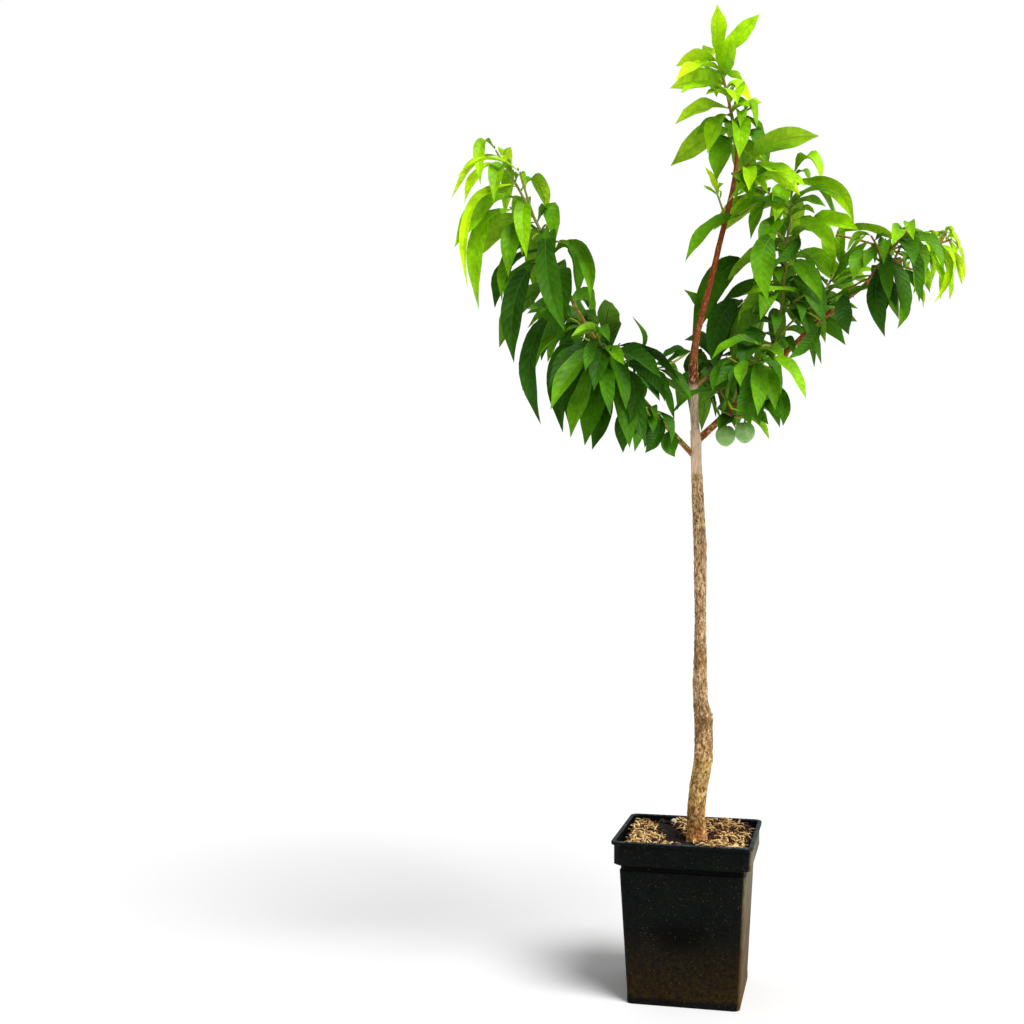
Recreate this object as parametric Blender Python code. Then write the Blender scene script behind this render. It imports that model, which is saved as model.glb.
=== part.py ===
"""A young potted nectarine tree: square pot, mulched mix, trunk, leader, two boughs and leafy shoots.

Metres, +Z up. The origin is the centre of the pot's flat underside. The tree is seen from -Y, with
the left bough towards -X and the right bough towards +X.
"""

import math
import random

import bmesh
import bpy
from mathutils import Matrix, Vector
from mathutils.bvhtree import BVHTree

OBJECT_NAME = "Potted nectarine tree"
GAP = 0.0003  # between pieces that touch in the real tree

# Pot, a square nursery pot with a rolled lip, a collar and a foot band
POT_TURN = math.radians(-13.5)
POT_HEIGHT = 0.1825
LIP_SIDE = 0.1555
LIP_HEIGHT = 0.0045
COLLAR_SIDE = 0.1505
COLLAR_DROP = 0.0270  # from the rim down to the collar's lower edge
BODY_TOP_SIDE = 0.140
BODY_FOOT_SIDE = 0.1235
FOOT_SIDE = 0.1250
FOOT_HEIGHT = 0.009
CORNER_RADIUS = 0.007
CORNER_STEPS = 3
WALL = 0.002
FLOOR = 0.003
OVERLAP = 0.003  # how far joined bands run into each other
DRAIN_RADIUS = 0.006
DRAIN_INSET = 0.020  # from the foot's outer side to the middle of a drain hole

# Potting mix
MIX_LEVEL = 0.1700
MIX_MOUNDS = (
    (-0.034, 0.036, 0.027, 0.0115),
    (0.004, 0.047, 0.022, 0.0100),
    (0.038, 0.036, 0.025, 0.0110),
    (0.050, -0.002, 0.020, 0.0060),
    (-0.048, -0.006, 0.022, 0.0060),
)
MIX_HOLLOW = (-0.022, -0.006, 0.016, 0.0060)

# Trunk: height, lean along X, radius
TRUNK_STATIONS = (
    (MIX_LEVEL + GAP, 0.0092, 0.0128),
    (0.1775, 0.0091, 0.0113),
    (0.2018, 0.0083, 0.0103),
    (0.2338, 0.0115, 0.0102),
    (0.2624, 0.0162, 0.0103),
    (0.3020, 0.0169, 0.0102),
    (0.3310, 0.0134, 0.0086),
    (0.3813, 0.0131, 0.0073),
    (0.4270, 0.0133, 0.0065),
    (0.5035, 0.0128, 0.0072),
    (0.5904, 0.0090, 0.0063),
    (0.6240, 0.0083, 0.0062),
    (0.6400, 0.0075, 0.0054),
)
TRUNK_STEPS = 2  # rings between two stations
LIMB_RINGS = 2  # bevel resolution, which gives eight sides
STEM_RINGS = 0  # four sides
LIMB_FACET = 0.97  # how far a limb's flat sides reach, as a share of its radius
STEM_FACET = 0.85

# Limbs: where each leaves its parent, how its heading and rise change, its length and end radii
LIMBS = {
    "leader": {
        "foot": (0.0075, 0.0, 0.6403),
        "headings": (0, 0),
        "rises": (94, 90, 74, 77, 76, 86),
        "length": 0.322,
        "radii": (0.0048, 0.0054, 0.0040, 0.0036, 0.0032, 0.0029, 0.0024),
        "steps": 12,
    },
    "left_bough": {
        "foot": (0.0045, 0.0, 0.6115),
        "headings": (184, 190, 176),
        "rises": (46, 48, 53, 66),
        "length": 0.243,
        "radii": (0.0034, 0.0027, 0.0024, 0.0021),
        "steps": 9,
    },
    "right_bough": {
        "foot": (0.0095, 0.0, 0.6270),
        "headings": (-8, -10, 2),
        "rises": (42, 46, 45, 40, 36),
        "length": 0.274,
        "radii": (0.0044, 0.0034, 0.0031, 0.0028, 0.0024),
        "steps": 9,
    },
}

# Leaves
TURN_PER_LEAF = math.radians(144)  # two turns in five leaves
OPEN_ANGLES = (62, 36)  # degrees between a leaf and its stem, at the stem's foot and tip
OPEN_VARIES = (0.8, 1.2)
LEAF_STALK = 0.07  # share of the length
LEAF_BELLY = 0.85  # below 1 the widest place lies nearer the stem
LEAF_FULLNESS = 0.75  # below 1 the leaf keeps its width for longer
LEAF_WIDTH_RATIO = 0.255
WIDTH_VARIES = (0.88, 1.10)
LENGTH_VARIES = (0.78, 1.10)
HANG_VARIES = (-0.22, 0.18)
MOST_HANG = 0.97
KNEE_SHARES = (0.28, 0.46)  # where along its length a leaf bends over
LEAF_BOW = 0.12  # how far a blade may curve to one side, as a share of its length
LEAF_ROLL = 0.3
TIP_TWIST = 0.4
FACING = (0.35, 0.95)  # how far a blade turns its face outwards
BACK_FROM = 0.35  # a leaf pointing further back than this faces backwards
LEAF_FOLD = math.radians(16)
LEAF_THICKNESS = 0.0012
LEAF_STATIONS = (0.0, 0.18, 0.44, 0.76, 1.0)
LEAF_ROOT = 0.14  # share of a leaf that lies near its stem and isn't tested
TEST_THICKNESS = 0.0024
TEST_MARGIN = 0.0010
TRIES = 18
TURN_SEARCH = 1.8  # radians by which the last try may turn away from the leaf's own place
LENGTH_SEARCH = 0.25
HANG_SEARCH = 0.3
STEM_STEP = 0.026
STEM_BEND = 12  # degrees
TWIG_ANGLE = math.radians(48)  # between a side twig and its stem
TWIG_BEND = 20  # degrees
TWIG_SHARES = (0.25, 0.85)  # where the first and last twig branch off
TWIG_LENGTH_VARIES = (0.85, 1.15)
TWIG_FIRST_LEAF = 0.3
TWIG_FOOT_RADIUS = 0.0014
TIP_RADIUS = 0.0011
TWIG_STEPS = 3
STALK_HALF_WIDTH = 0.0009
FRUIT_RADIUS = 0.0117
FRUIT_STALK = 0.006
FRUIT_STALK_RADII = (0.0011, 0.0013)
FRUIT_OPEN = (0.020, 0.042)  # no leaf hangs this far in front of a fruit

# Foliage. Each mass grows from one stem: "limb" and "at" say where, "heading" and "rises" which way.
# "leaves" are on the stem and "twigs" branch off it, each (how many, length, leaves on one). "leaf" is the
# leaf length at the stem's foot and tip, and "hang" is how far those leaves droop.
MASSES = {
    "foliage_crown_top": {
        "limb": "leader", "at": 1.0, "heading": 1, "rises": (97, 108),
        "length": 0.114, "radius": 0.0024, "leaves": 21, "first": 0.05,
        "leaf": (0.109, 0.066), "hang": (0.8, 0.47), "seed": 822, "broad": 1.26,
        "space": ((-0.042, -0.085, 0.912), (0.092, 0.085, 1.122)),
    },
    "foliage_leader_high": {
        "limb": "leader", "at": 0.903, "heading": -56, "rises": (33, 21),
        "length": 0.024, "radius": 0.0015, "leaves": 5, "first": 0.3,
        "leaf": (0.065, 0.108), "hang": (0.61, 0.36), "seed": 309,
        "space": ((0.045, -0.085, 0.872), (0.155, 0.08, 0.985)),
    },
    "foliage_leader_spur": {
        "limb": "leader", "at": 0.76, "heading": 146, "rises": (71, 69),
        "length": 0.023, "radius": 0.0013, "leaves": 5, "first": 0.45,
        "leaf": (0.028, 0.041), "hang": (0.19, 0.27), "seed": 96,
        "space": ((-0.03, -0.04, 0.852), (0.045, 0.05, 0.945)),
    },
    "foliage_left_outer": {
        "limb": "left_bough", "at": 1.0, "heading": 182, "rises": (68, 58),
        "length": 0.172, "radius": 0.0021, "leaves": 22, "first": 0.02,
        "leaf": (0.15, 0.111), "hang": (0.95, 0.83), "seed": 816,
        "space": ((-0.275, -0.125, 0.64), (-0.078, 0.125, 0.968)),
    },
    "foliage_left_mid": {
        "limb": "left_bough", "at": 0.548, "heading": 261, "rises": (21, -15),
        "length": 0.087, "radius": 0.0018, "leaves": 14, "first": 0.14,
        "leaf": (0.117, 0.112), "hang": (0.7, 0.6), "seed": 180,
        "space": ((-0.17, -0.16, 0.606), (-0.04, 0.03, 0.79)),
    },
    "foliage_left_back": {
        "limb": "left_bough", "at": 0.758, "heading": 106, "rises": (14, 33),
        "length": 0.087, "radius": 0.0018, "leaves": 12, "first": 0.12,
        "leaf": (0.124, 0.105), "hang": (0.77, 0.62), "seed": 877,
        "space": ((-0.19, 0.0, 0.62), (-0.06, 0.19, 0.82)),
    },
    "foliage_left_inner": {
        "limb": "left_bough", "at": 0.468, "heading": -30, "rises": (26, 5),
        "length": 0.045, "radius": 0.0015, "leaves": 10, "first": 0.14,
        "leaf": (0.065, 0.066), "hang": (0.7, 0.43), "seed": 236,
        "space": ((-0.098, -0.09, 0.64), (0.0, 0.08, 0.775)),
    },
    "foliage_left_low": {
        "limb": "left_bough", "at": 0.252, "heading": 252, "rises": (21, -15),
        "length": 0.039, "radius": 0.0013, "leaves": 9, "first": 0.3,
        "leaf": (0.054, 0.056), "hang": (0.92, 0.42), "seed": 127,
        "space": ((-0.085, -0.08, 0.602), (-0.004, 0.05, 0.7)),
    },
    "foliage_upright": {
        "limb": "right_bough", "at": 0.426, "heading": 44, "rises": (70, 84, 80),
        "length": 0.222, "radius": 0.0023, "leaves": 25, "first": 0.08,
        "leaf": (0.118, 0.125), "hang": (0.82, 0.65), "seed": 808,
        "space": ((-0.012, -0.1, 0.699), (0.2, 0.155, 0.962)),
    },
    "foliage_back": {
        "limb": "leader", "at": 0.145, "heading": 47, "rises": (26, 53),
        "length": 0.084, "radius": 0.0020, "leaves": 26, "first": 0.16,
        "leaf": (0.113, 0.107), "hang": (0.95, 0.22), "seed": 295,
        "space": ((-0.014, 0.01, 0.64), (0.115, 0.215, 0.88)),
    },
    "foliage_fork": {
        "limb": "right_bough", "at": 0.08, "heading": -56, "rises": (24, -8),
        "length": 0.052, "radius": 0.0019, "leaves": 14, "first": 0.1,
        "leaf": (0.049, 0.096), "hang": (0.26, 0.6), "seed": 7,
        "fruit": (0.34, 0.98),
        "space": ((-0.03, -0.14, 0.612), (0.09, 0.03, 0.745)),
    },
    "foliage_right_low": {
        "limb": "right_bough", "at": 0.2, "heading": -78, "rises": (58, -4),
        "length": 0.093, "radius": 0.0018, "leaves": 16, "first": 0.12,
        "leaf": (0.074, 0.082), "hang": (0.82, 0.73), "seed": 325,
        "space": ((-0.004, -0.16, 0.632), (0.122, 0.06, 0.775)),
    },
    "foliage_right_mid": {
        "limb": "right_bough", "at": 0.666, "heading": 22, "rises": (74, 44),
        "length": 0.082, "radius": 0.0019, "leaves": 20, "first": 0.1,
        "leaf": (0.086, 0.057), "hang": (0.43, 0.2), "seed": 128,
        "space": ((0.095, -0.08, 0.705), (0.215, 0.11, 0.885)),
    },
    "foliage_right_front": {
        "limb": "right_bough", "at": 0.934, "heading": -64, "rises": (39, 25),
        "length": 0.089, "radius": 0.0017, "leaves": 17, "first": 0.12,
        "leaf": (0.084, 0.078), "hang": (0.94, 0.72), "seed": 423,
        "space": ((0.12, -0.165, 0.72), (0.262, -0.005, 0.86)),
    },
    "foliage_right_outer": {
        "limb": "right_bough", "at": 1.0, "heading": 2, "rises": (36, 16),
        "length": 0.094, "radius": 0.0021, "leaves": 13, "first": 0.03,
        "leaf": (0.072, 0.048), "hang": (0.86, 0.95), "seed": 212,
        "twigs": (4, 0.036, 6),
        "space": ((0.16, -0.1, 0.735), (0.322, 0.1, 0.888)),
    },
}

COLOURS = {
    "pot": ((0.012, 0.013, 0.013), 0.55),
    "mix": ((0.10, 0.065, 0.035), 0.95),
    "trunk": ((0.30, 0.19, 0.11), 0.85),
    "leader": ((0.22, 0.07, 0.04), 0.60),
    "left_bough": ((0.28, 0.24, 0.06), 0.60),
    "right_bough": ((0.32, 0.10, 0.04), 0.60),
    "foliage": ((0.09, 0.26, 0.02), 0.45),
}


def clear_scene():
    for obj in list(bpy.data.objects):
        bpy.data.objects.remove(obj, do_unlink=True)


def make_collection(name):
    collection = bpy.data.collections.new(name)
    bpy.context.scene.collection.children.link(collection)
    return collection


def make_material(name, colour, roughness):
    material = bpy.data.materials.new(name)
    material.use_nodes = True
    shader = material.node_tree.nodes["Principled BSDF"]
    shader.inputs["Base Color"].default_value = (*colour, 1.0)
    shader.inputs["Roughness"].default_value = roughness
    return material


def add_object(name, mesh, home, material=None):
    obj = bpy.data.objects.new(name, mesh)
    home.objects.link(obj)
    if material:
        mesh.materials.clear()
        mesh.materials.append(material)
    return obj


def evaluated_mesh(obj):
    bpy.context.view_layer.update()
    graph = bpy.context.evaluated_depsgraph_get()
    return bpy.data.meshes.new_from_object(obj.evaluated_get(graph))


def add_boolean(obj, operation, other):
    modifier = obj.modifiers.new(f"{operation} {other.name}", "BOOLEAN")
    modifier.operation = operation
    modifier.object = other


# Pot and mix


def body_side(height):
    """Outer side of the tapered pot body at a height above the ground."""
    return BODY_FOOT_SIDE + (BODY_TOP_SIDE - BODY_FOOT_SIDE) * height / (POT_HEIGHT - COLLAR_DROP)


def frustum(name, low, high, low_side, high_side, home):
    """A square block between two heights, with its four upright edges rounded, turned as the pot is."""
    bm = bmesh.new()
    place = Matrix.Translation((0, 0, (low + high) / 2)) @ Matrix.Rotation(POT_TURN + math.pi / 4, 4, "Z")
    bmesh.ops.create_cone(
        bm,
        cap_ends=True,
        segments=4,
        radius1=low_side / math.sqrt(2),
        radius2=high_side / math.sqrt(2),
        depth=high - low,
        matrix=place,
    )
    half = (high - low) / 2
    upright = [edge for edge in bm.edges if abs(edge.verts[0].co.z - edge.verts[1].co.z) > half]
    bmesh.ops.bevel(
        bm, geom=upright, offset=CORNER_RADIUS, segments=CORNER_STEPS, profile=0.5, affect="EDGES"
    )
    mesh = bpy.data.meshes.new(name)
    bm.to_mesh(mesh)
    bm.free()
    return add_object(name, mesh, home)


def helper(obj):
    obj.hide_render = True
    obj.display_type = "WIRE"
    return obj


def pot_block(name, low, high, inset, home):
    """Part of the tapered body's outline between two heights, drawn in on every side by the inset."""
    return frustum(name, low, high, body_side(low) - 2 * inset, body_side(high) - 2 * inset, home)


def make_pot(parts, cutters, material):
    collar_foot = POT_HEIGHT - COLLAR_DROP
    lip_foot = POT_HEIGHT - LIP_HEIGHT
    pot = pot_block("pot", OVERLAP, collar_foot + OVERLAP, 0, parts)
    pot.data.materials.append(material)
    foot = frustum("foot band", 0, FOOT_HEIGHT, FOOT_SIDE, FOOT_SIDE, cutters)
    collar = frustum("collar", collar_foot, lip_foot + OVERLAP / 2, COLLAR_SIDE, COLLAR_SIDE, cutters)
    lip = frustum("lip", lip_foot, POT_HEIGHT, LIP_SIDE, LIP_SIDE, cutters)
    for band in (foot, collar, lip):
        add_boolean(pot, "UNION", helper(band))
    inside = pot_block("inside", FLOOR, collar_foot + 2 * OVERLAP, WALL, cutters)
    collar_side = COLLAR_SIDE - 2 * WALL
    mouth = frustum(
        "mouth", collar_foot + OVERLAP, POT_HEIGHT + OVERLAP, collar_side, collar_side, cutters
    )
    for hollow in (inside, mouth):
        add_boolean(pot, "DIFFERENCE", helper(hollow))
    reach = FOOT_SIDE / 2 - DRAIN_INSET
    for across in (-1, 1):
        for along in (-1, 1):
            bm = bmesh.new()
            spot = Matrix.Rotation(POT_TURN, 4, "Z") @ Vector((across * reach, along * reach, FLOOR / 2))
            bmesh.ops.create_cone(
                bm,
                cap_ends=True,
                segments=12,
                radius1=DRAIN_RADIUS,
                radius2=DRAIN_RADIUS,
                depth=4 * FLOOR,
                matrix=Matrix.Translation(spot),
            )
            mesh = bpy.data.meshes.new("drain hole")
            bm.to_mesh(mesh)
            bm.free()
            add_boolean(pot, "DIFFERENCE", helper(add_object("drain hole", mesh, cutters)))
    return pot


def low_dome(name, spot, home):
    """A flattened ball at the mix's surface: its place, its radius and its rise."""
    across, along, radius, rise = spot
    bm = bmesh.new()
    bmesh.ops.create_uvsphere(bm, u_segments=12, v_segments=6, radius=radius)
    bmesh.ops.scale(bm, vec=(1, 1, rise / radius), verts=bm.verts)
    bmesh.ops.translate(bm, vec=(across, along, MIX_LEVEL), verts=bm.verts)
    mesh = bpy.data.meshes.new(name)
    bm.to_mesh(mesh)
    bm.free()
    return helper(add_object(name, mesh, home))


def make_mix(parts, cutters, material):
    shelf = POT_HEIGHT - COLLAR_DROP + OVERLAP
    mix = pot_block("potting_mix", FLOOR + GAP, shelf + OVERLAP, WALL + GAP, parts)
    mix.data.materials.append(material)
    top_side = COLLAR_SIDE - 2 * (WALL + GAP)
    top = frustum("mix top", shelf + GAP, MIX_LEVEL, top_side, top_side, cutters)
    add_boolean(mix, "UNION", helper(top))
    for spot in MIX_MOUNDS:
        add_boolean(mix, "UNION", low_dome("mound", spot, cutters))
    add_boolean(mix, "DIFFERENCE", low_dome("hollow", MIX_HOLLOW, cutters))
    return mix


# Limbs


def between(values, share):
    """The value at a share of the way along evenly spaced values."""
    place = share * (len(values) - 1)
    index = min(int(place), len(values) - 2)
    return values[index] + (values[index + 1] - values[index]) * (place - index)


def direction(heading, rise):
    heading, rise = math.radians(heading), math.radians(rise)
    return Vector(
        (math.cos(rise) * math.cos(heading), math.cos(rise) * math.sin(heading), math.sin(rise))
    )


def grown_path(foot, headings, rises, length, steps):
    """Points along a shoot that sets out from its foot and turns as it grows."""
    path = [Vector(foot)]
    for step in range(steps):
        share = (step + 0.5) / steps
        path.append(path[-1] + direction(between(headings, share), between(rises, share)) * length / steps)
    return path


def taper(radii, count):
    return [between(radii, index / (count - 1)) for index in range(count)]


def trunk_path():
    """The trunk's line and radii, smoothed between its stations, with an upright first stretch."""
    path, radii = [], []
    for index in range(len(TRUNK_STATIONS) - 1):
        before = TRUNK_STATIONS[max(index - 1, 0)]
        start, end = TRUNK_STATIONS[index], TRUNK_STATIONS[index + 1]
        after = TRUNK_STATIONS[min(index + 2, len(TRUNK_STATIONS) - 1)]
        for step in range(TRUNK_STEPS):
            share = step / TRUNK_STEPS
            height, lean, radius = (
                catmull(before[axis], start[axis], end[axis], after[axis], share) for axis in range(3)
            )
            path.append(Vector((lean, 0, height)))
            radii.append(radius)
    height, lean, radius = TRUNK_STATIONS[-1]
    path.append(Vector((lean, 0, height)))
    radii.append(radius)
    path[1].x = path[0].x
    return path, radii


def catmull(before, start, end, after, share):
    """Catmull-Rom value between start and end."""
    slope_in, slope_out = (end - before) / 2, (after - start) / 2
    square, cube = share * share, share * share * share
    return (
        (2 * cube - 3 * square + 1) * start
        + (cube - 2 * square + share) * slope_in
        + (3 * square - 2 * cube) * end
        + (cube - square) * slope_out
    )


def tube(name, path, radii, rings, home):
    """A tapering limb: a bevelled curve with filled caps, turned into a welded mesh."""
    data = bpy.data.curves.new(name, "CURVE")
    data.dimensions = "3D"
    data.twist_mode = "MINIMUM"
    data.bevel_depth = 1.0
    data.bevel_resolution = rings
    data.use_fill_caps = True
    spline = data.splines.new("POLY")
    spline.points.add(len(path) - 1)
    for point, place, radius in zip(spline.points, path, radii):
        point.co = (*place, 1.0)
        point.radius = radius
    guide = bpy.data.objects.new(name, data)
    home.objects.link(guide)
    mesh = evaluated_mesh(guide)
    bpy.data.objects.remove(guide)
    bpy.data.curves.remove(data)
    bm = bmesh.new()
    bm.from_mesh(mesh)
    bmesh.ops.remove_doubles(bm, verts=bm.verts, dist=1e-6)
    bmesh.ops.recalc_face_normals(bm, faces=bm.faces)
    bm.to_mesh(mesh)
    bm.free()
    return add_object(name, mesh, home)


def limb_lines():
    """Path and radii of the trunk and of each limb."""
    lines = {"trunk": trunk_path()}
    for name, limb in LIMBS.items():
        path = grown_path(limb["foot"], limb["headings"], limb["rises"], limb["length"], limb["steps"])
        lines[name] = (path, taper(limb["radii"], len(path)))
    return lines


def make_limbs(lines, parts, cutters, materials):
    """The trunk, the leader on its flat top, and two boughs cut to fit round the trunk."""
    for name, (path, radii) in lines.items():
        limb = tube(name, path, radii, LIMB_RINGS, parts)
        limb.data.materials.append(materials[name])
        limb.data.shade_smooth()
        limb.data.set_sharp_from_angle(angle=math.radians(50))
    path, radii = lines["trunk"]
    seat = tube("trunk seat", path, [radius + GAP for radius in radii], LIMB_RINGS, cutters)
    for name in ("left_bough", "right_bough"):
        add_boolean(parts.objects[name], "DIFFERENCE", helper(seat))


# Foliage rule


def outline(reach):
    """Half-width of a leaf as a share of its greatest: a short stalk, a broad middle and a long tip."""
    if reach <= LEAF_STALK:
        return 0.0
    blade_share = (reach - LEAF_STALK) / (1 - LEAF_STALK)
    return math.sin(math.pi * blade_share**LEAF_BELLY) ** LEAF_FULLNESS


def leaf_point(leaf, along, across):
    """A point on the leaf and the upper side's normal there. Along runs 0 to 1, across -1 to 1.

    Along is the curve's own parameter, and reach is the share of the leaf's length up to there.
    """
    centre = (1 - along) ** 2 * leaf["base"] + 2 * along * (1 - along) * leaf["knee"] + along**2 * leaf["tip"]
    tangent = (1 - along) * (leaf["knee"] - leaf["base"]) + along * (leaf["tip"] - leaf["knee"])
    tangent.normalize()
    side = leaf["side"].lerp(leaf["tip_side"], along)
    side = (side - tangent * side.dot(tangent)).normalized()
    normal = tangent.cross(side)
    reach = along * (2 * leaf["knee_share"] + (1 - 2 * leaf["knee_share"]) * along)
    half = leaf["width"] / 2 * outline(reach)
    if along < 1:
        half = max(half, STALK_HALF_WIDTH)
    lift = half * abs(across) * math.sin(LEAF_FOLD)
    return centre + side * half * across * math.cos(LEAF_FOLD) + normal * lift, normal


def blade(leaf, stations, thickness):
    """A closed thin leaf: a grid bent to shape, its copy set below it, joined along the margin."""
    bm = bmesh.new()
    rows = len(stations) - 1
    bmesh.ops.create_grid(bm, x_segments=rows, y_segments=2, size=1)
    under = bmesh.ops.duplicate(bm, geom=bm.faces[:])["geom"]
    copied = {vert for vert in under if isinstance(vert, bmesh.types.BMVert)}
    bmesh.ops.reverse_faces(bm, faces=[face for face in under if isinstance(face, bmesh.types.BMFace)])
    for vert in bm.verts:
        along = stations[round((vert.co.x + 1) / 2 * rows)]
        across = round(vert.co.y)
        place, normal = leaf_point(leaf, along, across)
        if across == 0 and along < 1:
            place += normal * thickness * (-0.5 if vert in copied else 0.5)
        vert.co = place
    bmesh.ops.remove_doubles(bm, verts=bm.verts, dist=1e-5)
    rim = [edge for edge in bm.edges if edge.is_boundary]
    bmesh.ops.holes_fill(bm, edges=rim, sides=4)
    return bm


def shared_stations(first):
    """The leaf's stations from a share of its length on, for the parts that must stay clear."""
    return (first, *[station for station in LEAF_STATIONS if station > first])


def test_surface(leaf, first):
    bm = blade(leaf, shared_stations(first), TEST_THICKNESS)
    surface = BVHTree.FromBMesh(bm)
    corners = [vert.co.copy() for vert in bm.verts]
    bm.free()
    return surface, corners


def tube_surface(path, radii):
    """A four-sided skin round a path, a little wider than the limb, for the tests."""
    corners, faces = [], []
    for index, place in enumerate(path):
        ahead = path[min(index + 1, len(path) - 1)] - path[max(index - 1, 0)]
        side = ahead.cross(Vector((0, 1, 0))).normalized()
        over = ahead.cross(side).normalized()
        reach = (radii[index] + TEST_MARGIN) * math.sqrt(2)
        corners += [place + side * reach, place + over * reach, place - side * reach, place - over * reach]
        if index:
            first = 4 * index - 4
            faces += [
                (first + turn, first + (turn + 1) % 4, first + 4 + (turn + 1) % 4, first + 4 + turn)
                for turn in range(4)
            ]
    return BVHTree.FromPolygons(corners, faces)


def ball_surface(centre, radius):
    bm = bmesh.new()
    bmesh.ops.create_icosphere(bm, subdivisions=2, radius=radius, matrix=Matrix.Translation(centre))
    surface = BVHTree.FromBMesh(bm)
    bm.free()
    return surface


def path_place(path, share):
    """The point and heading at a share of the way along a path of equal steps."""
    place = share * (len(path) - 1)
    index = min(int(place), len(path) - 2)
    ahead = path[index + 1] - path[index]
    return path[index] + ahead * (place - index), ahead.normalized()


def stem_foot(limb_line, at, heading, stem_radius):
    """Where a stem starts so that its flat foot is clear of its limb by the gap."""
    path, radii = limb_line
    place, ahead = path_place(path, at)
    if at == 1.0:
        tilt = math.sqrt(max(1 - heading.dot(ahead) ** 2, 0))
        return place + ahead * (GAP + stem_radius * tilt)
    slope = min(abs(heading.dot(ahead)), 0.9)
    width = between(radii, at) * LIMB_FACET + GAP + stem_radius * STEM_FACET * slope
    reach = width / math.sqrt(1 - slope * slope)
    return place + heading * reach


def make_leaf(rng, base, stem_ahead, turn, length, hang, open_angle):
    """One leaf: it leaves the stem at the open angle and bends over towards the ground by its hang."""
    flat = stem_ahead.cross(Vector((0, 0, 1)))
    if flat.length < 0.05:
        flat = Vector((1, 0, 0))
    flat.normalize()
    radial = Matrix.Rotation(turn, 3, stem_ahead) @ flat
    leave = (stem_ahead * math.cos(open_angle) + radial * math.sin(open_angle)).normalized()
    fall = leave.lerp(Vector((0, 0, -1)), hang)
    if fall.length < 0.1:
        fall = radial.copy()
    fall.normalize()
    side = Vector((0, 0, 1)).cross(leave)
    if side.length < 0.2:
        side = radial.cross(stem_ahead)
    side.normalize()
    side = Matrix.Rotation(rng.uniform(-LEAF_ROLL, LEAF_ROLL), 3, leave) @ side
    outward = Vector((0, 1 if radial.y > BACK_FROM else -1, 0.2))
    facing = side.lerp(outward.cross(fall).normalized(), rng.uniform(*FACING)).normalized()
    knee_share = rng.uniform(*KNEE_SHARES)
    bend = base + leave * length * knee_share
    bow = length * rng.uniform(-LEAF_BOW, LEAF_BOW)
    return {
        "base": base,
        "knee": bend + side * bow,
        "knee_share": knee_share,
        "tip": bend + fall * length * (1 - knee_share),
        "side": side.lerp(facing, 0.5),
        "tip_side": Matrix.Rotation(rng.uniform(-TIP_TWIST, TIP_TWIST), 3, fall) @ facing,
        "width": length * LEAF_WIDTH_RATIO * rng.uniform(*WIDTH_VARIES),
        "length": length,
    }


def inside(space, corners):
    low, high = space
    return all(low[axis] <= corner[axis] <= high[axis] for corner in corners for axis in range(3))


def touches(surface, obstacles):
    return any(surface.overlap(other) for other in obstacles)


def grow_leaf(rng, spec, stem, share, turn, own, others):
    """Tries a few ways of setting one leaf, and returns the first that is clear, or None."""
    place, ahead = path_place(stem, share)
    length = between(spec["leaf"], share)
    hang = between(spec["hang"], share)
    for attempt in range(TRIES):
        spread = attempt / TRIES
        try_turn = turn + rng.uniform(-TURN_SEARCH, TURN_SEARCH) * spread
        try_length = length * rng.uniform(*LENGTH_VARIES) * (1 - LENGTH_SEARCH * spread)
        try_hang = hang + rng.uniform(*HANG_VARIES) - HANG_SEARCH * spread * rng.random()
        try_hang = min(max(try_hang, 0), MOST_HANG)
        open_angle = math.radians(between(OPEN_ANGLES, share)) * rng.uniform(*OPEN_VARIES)
        leaf = make_leaf(rng, place, ahead, try_turn, try_length, try_hang, open_angle)
        leaf["width"] *= spec.get("broad", 1)
        outer, corners = test_surface(leaf, LEAF_ROOT)
        if not inside(spec["space"], corners) or touches(outer, own):
            continue
        whole, _ = test_surface(leaf, 0)
        if not touches(whole, others):
            own.append(outer)
            return leaf
    return None


def grow_twig(rng, spec, stem, share, turn, own, others):
    """A side twig rooted in the stem, or None where it would leave the space or touch something."""
    place, ahead = path_place(stem, share)
    flat = ahead.cross(Vector((0, 0, 1))).normalized()
    radial = Matrix.Rotation(turn, 3, ahead) @ flat
    leave = ahead * math.cos(TWIG_ANGLE) + radial * math.sin(TWIG_ANGLE)
    heading = math.degrees(math.atan2(leave.y, leave.x))
    rise = math.degrees(math.asin(leave.z))
    length = spec["twigs"][1] * rng.uniform(*TWIG_LENGTH_VARIES)
    headings = (heading, heading + rng.uniform(-TWIG_BEND, TWIG_BEND))
    path = grown_path(place, headings, (rise, rise / 2), length, TWIG_STEPS)
    radii = taper((TWIG_FOOT_RADIUS, TIP_RADIUS), len(path))
    surface = tube_surface(path, radii)
    clear = tube_surface(path[1:], radii[1:])
    if not inside(spec["space"], path) or touches(clear, own) or touches(surface, others):
        return None
    own.append(clear)
    return path, radii


def stem_of(spec, lines):
    """The path and radii of a mass's own stem."""
    aim = direction(spec["heading"], spec["rises"][0])
    foot = stem_foot(lines[spec["limb"]], spec["at"], aim, spec["radius"])
    steps = max(2, round(spec["length"] / STEM_STEP))
    bend = random.Random(spec["seed"]).uniform(-STEM_BEND, STEM_BEND)
    headings = (spec["heading"], spec["heading"] + bend)
    path = grown_path(foot, headings, spec["rises"], spec["length"], steps)
    return path, taper((spec["radius"], TIP_RADIUS), len(path))


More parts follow.
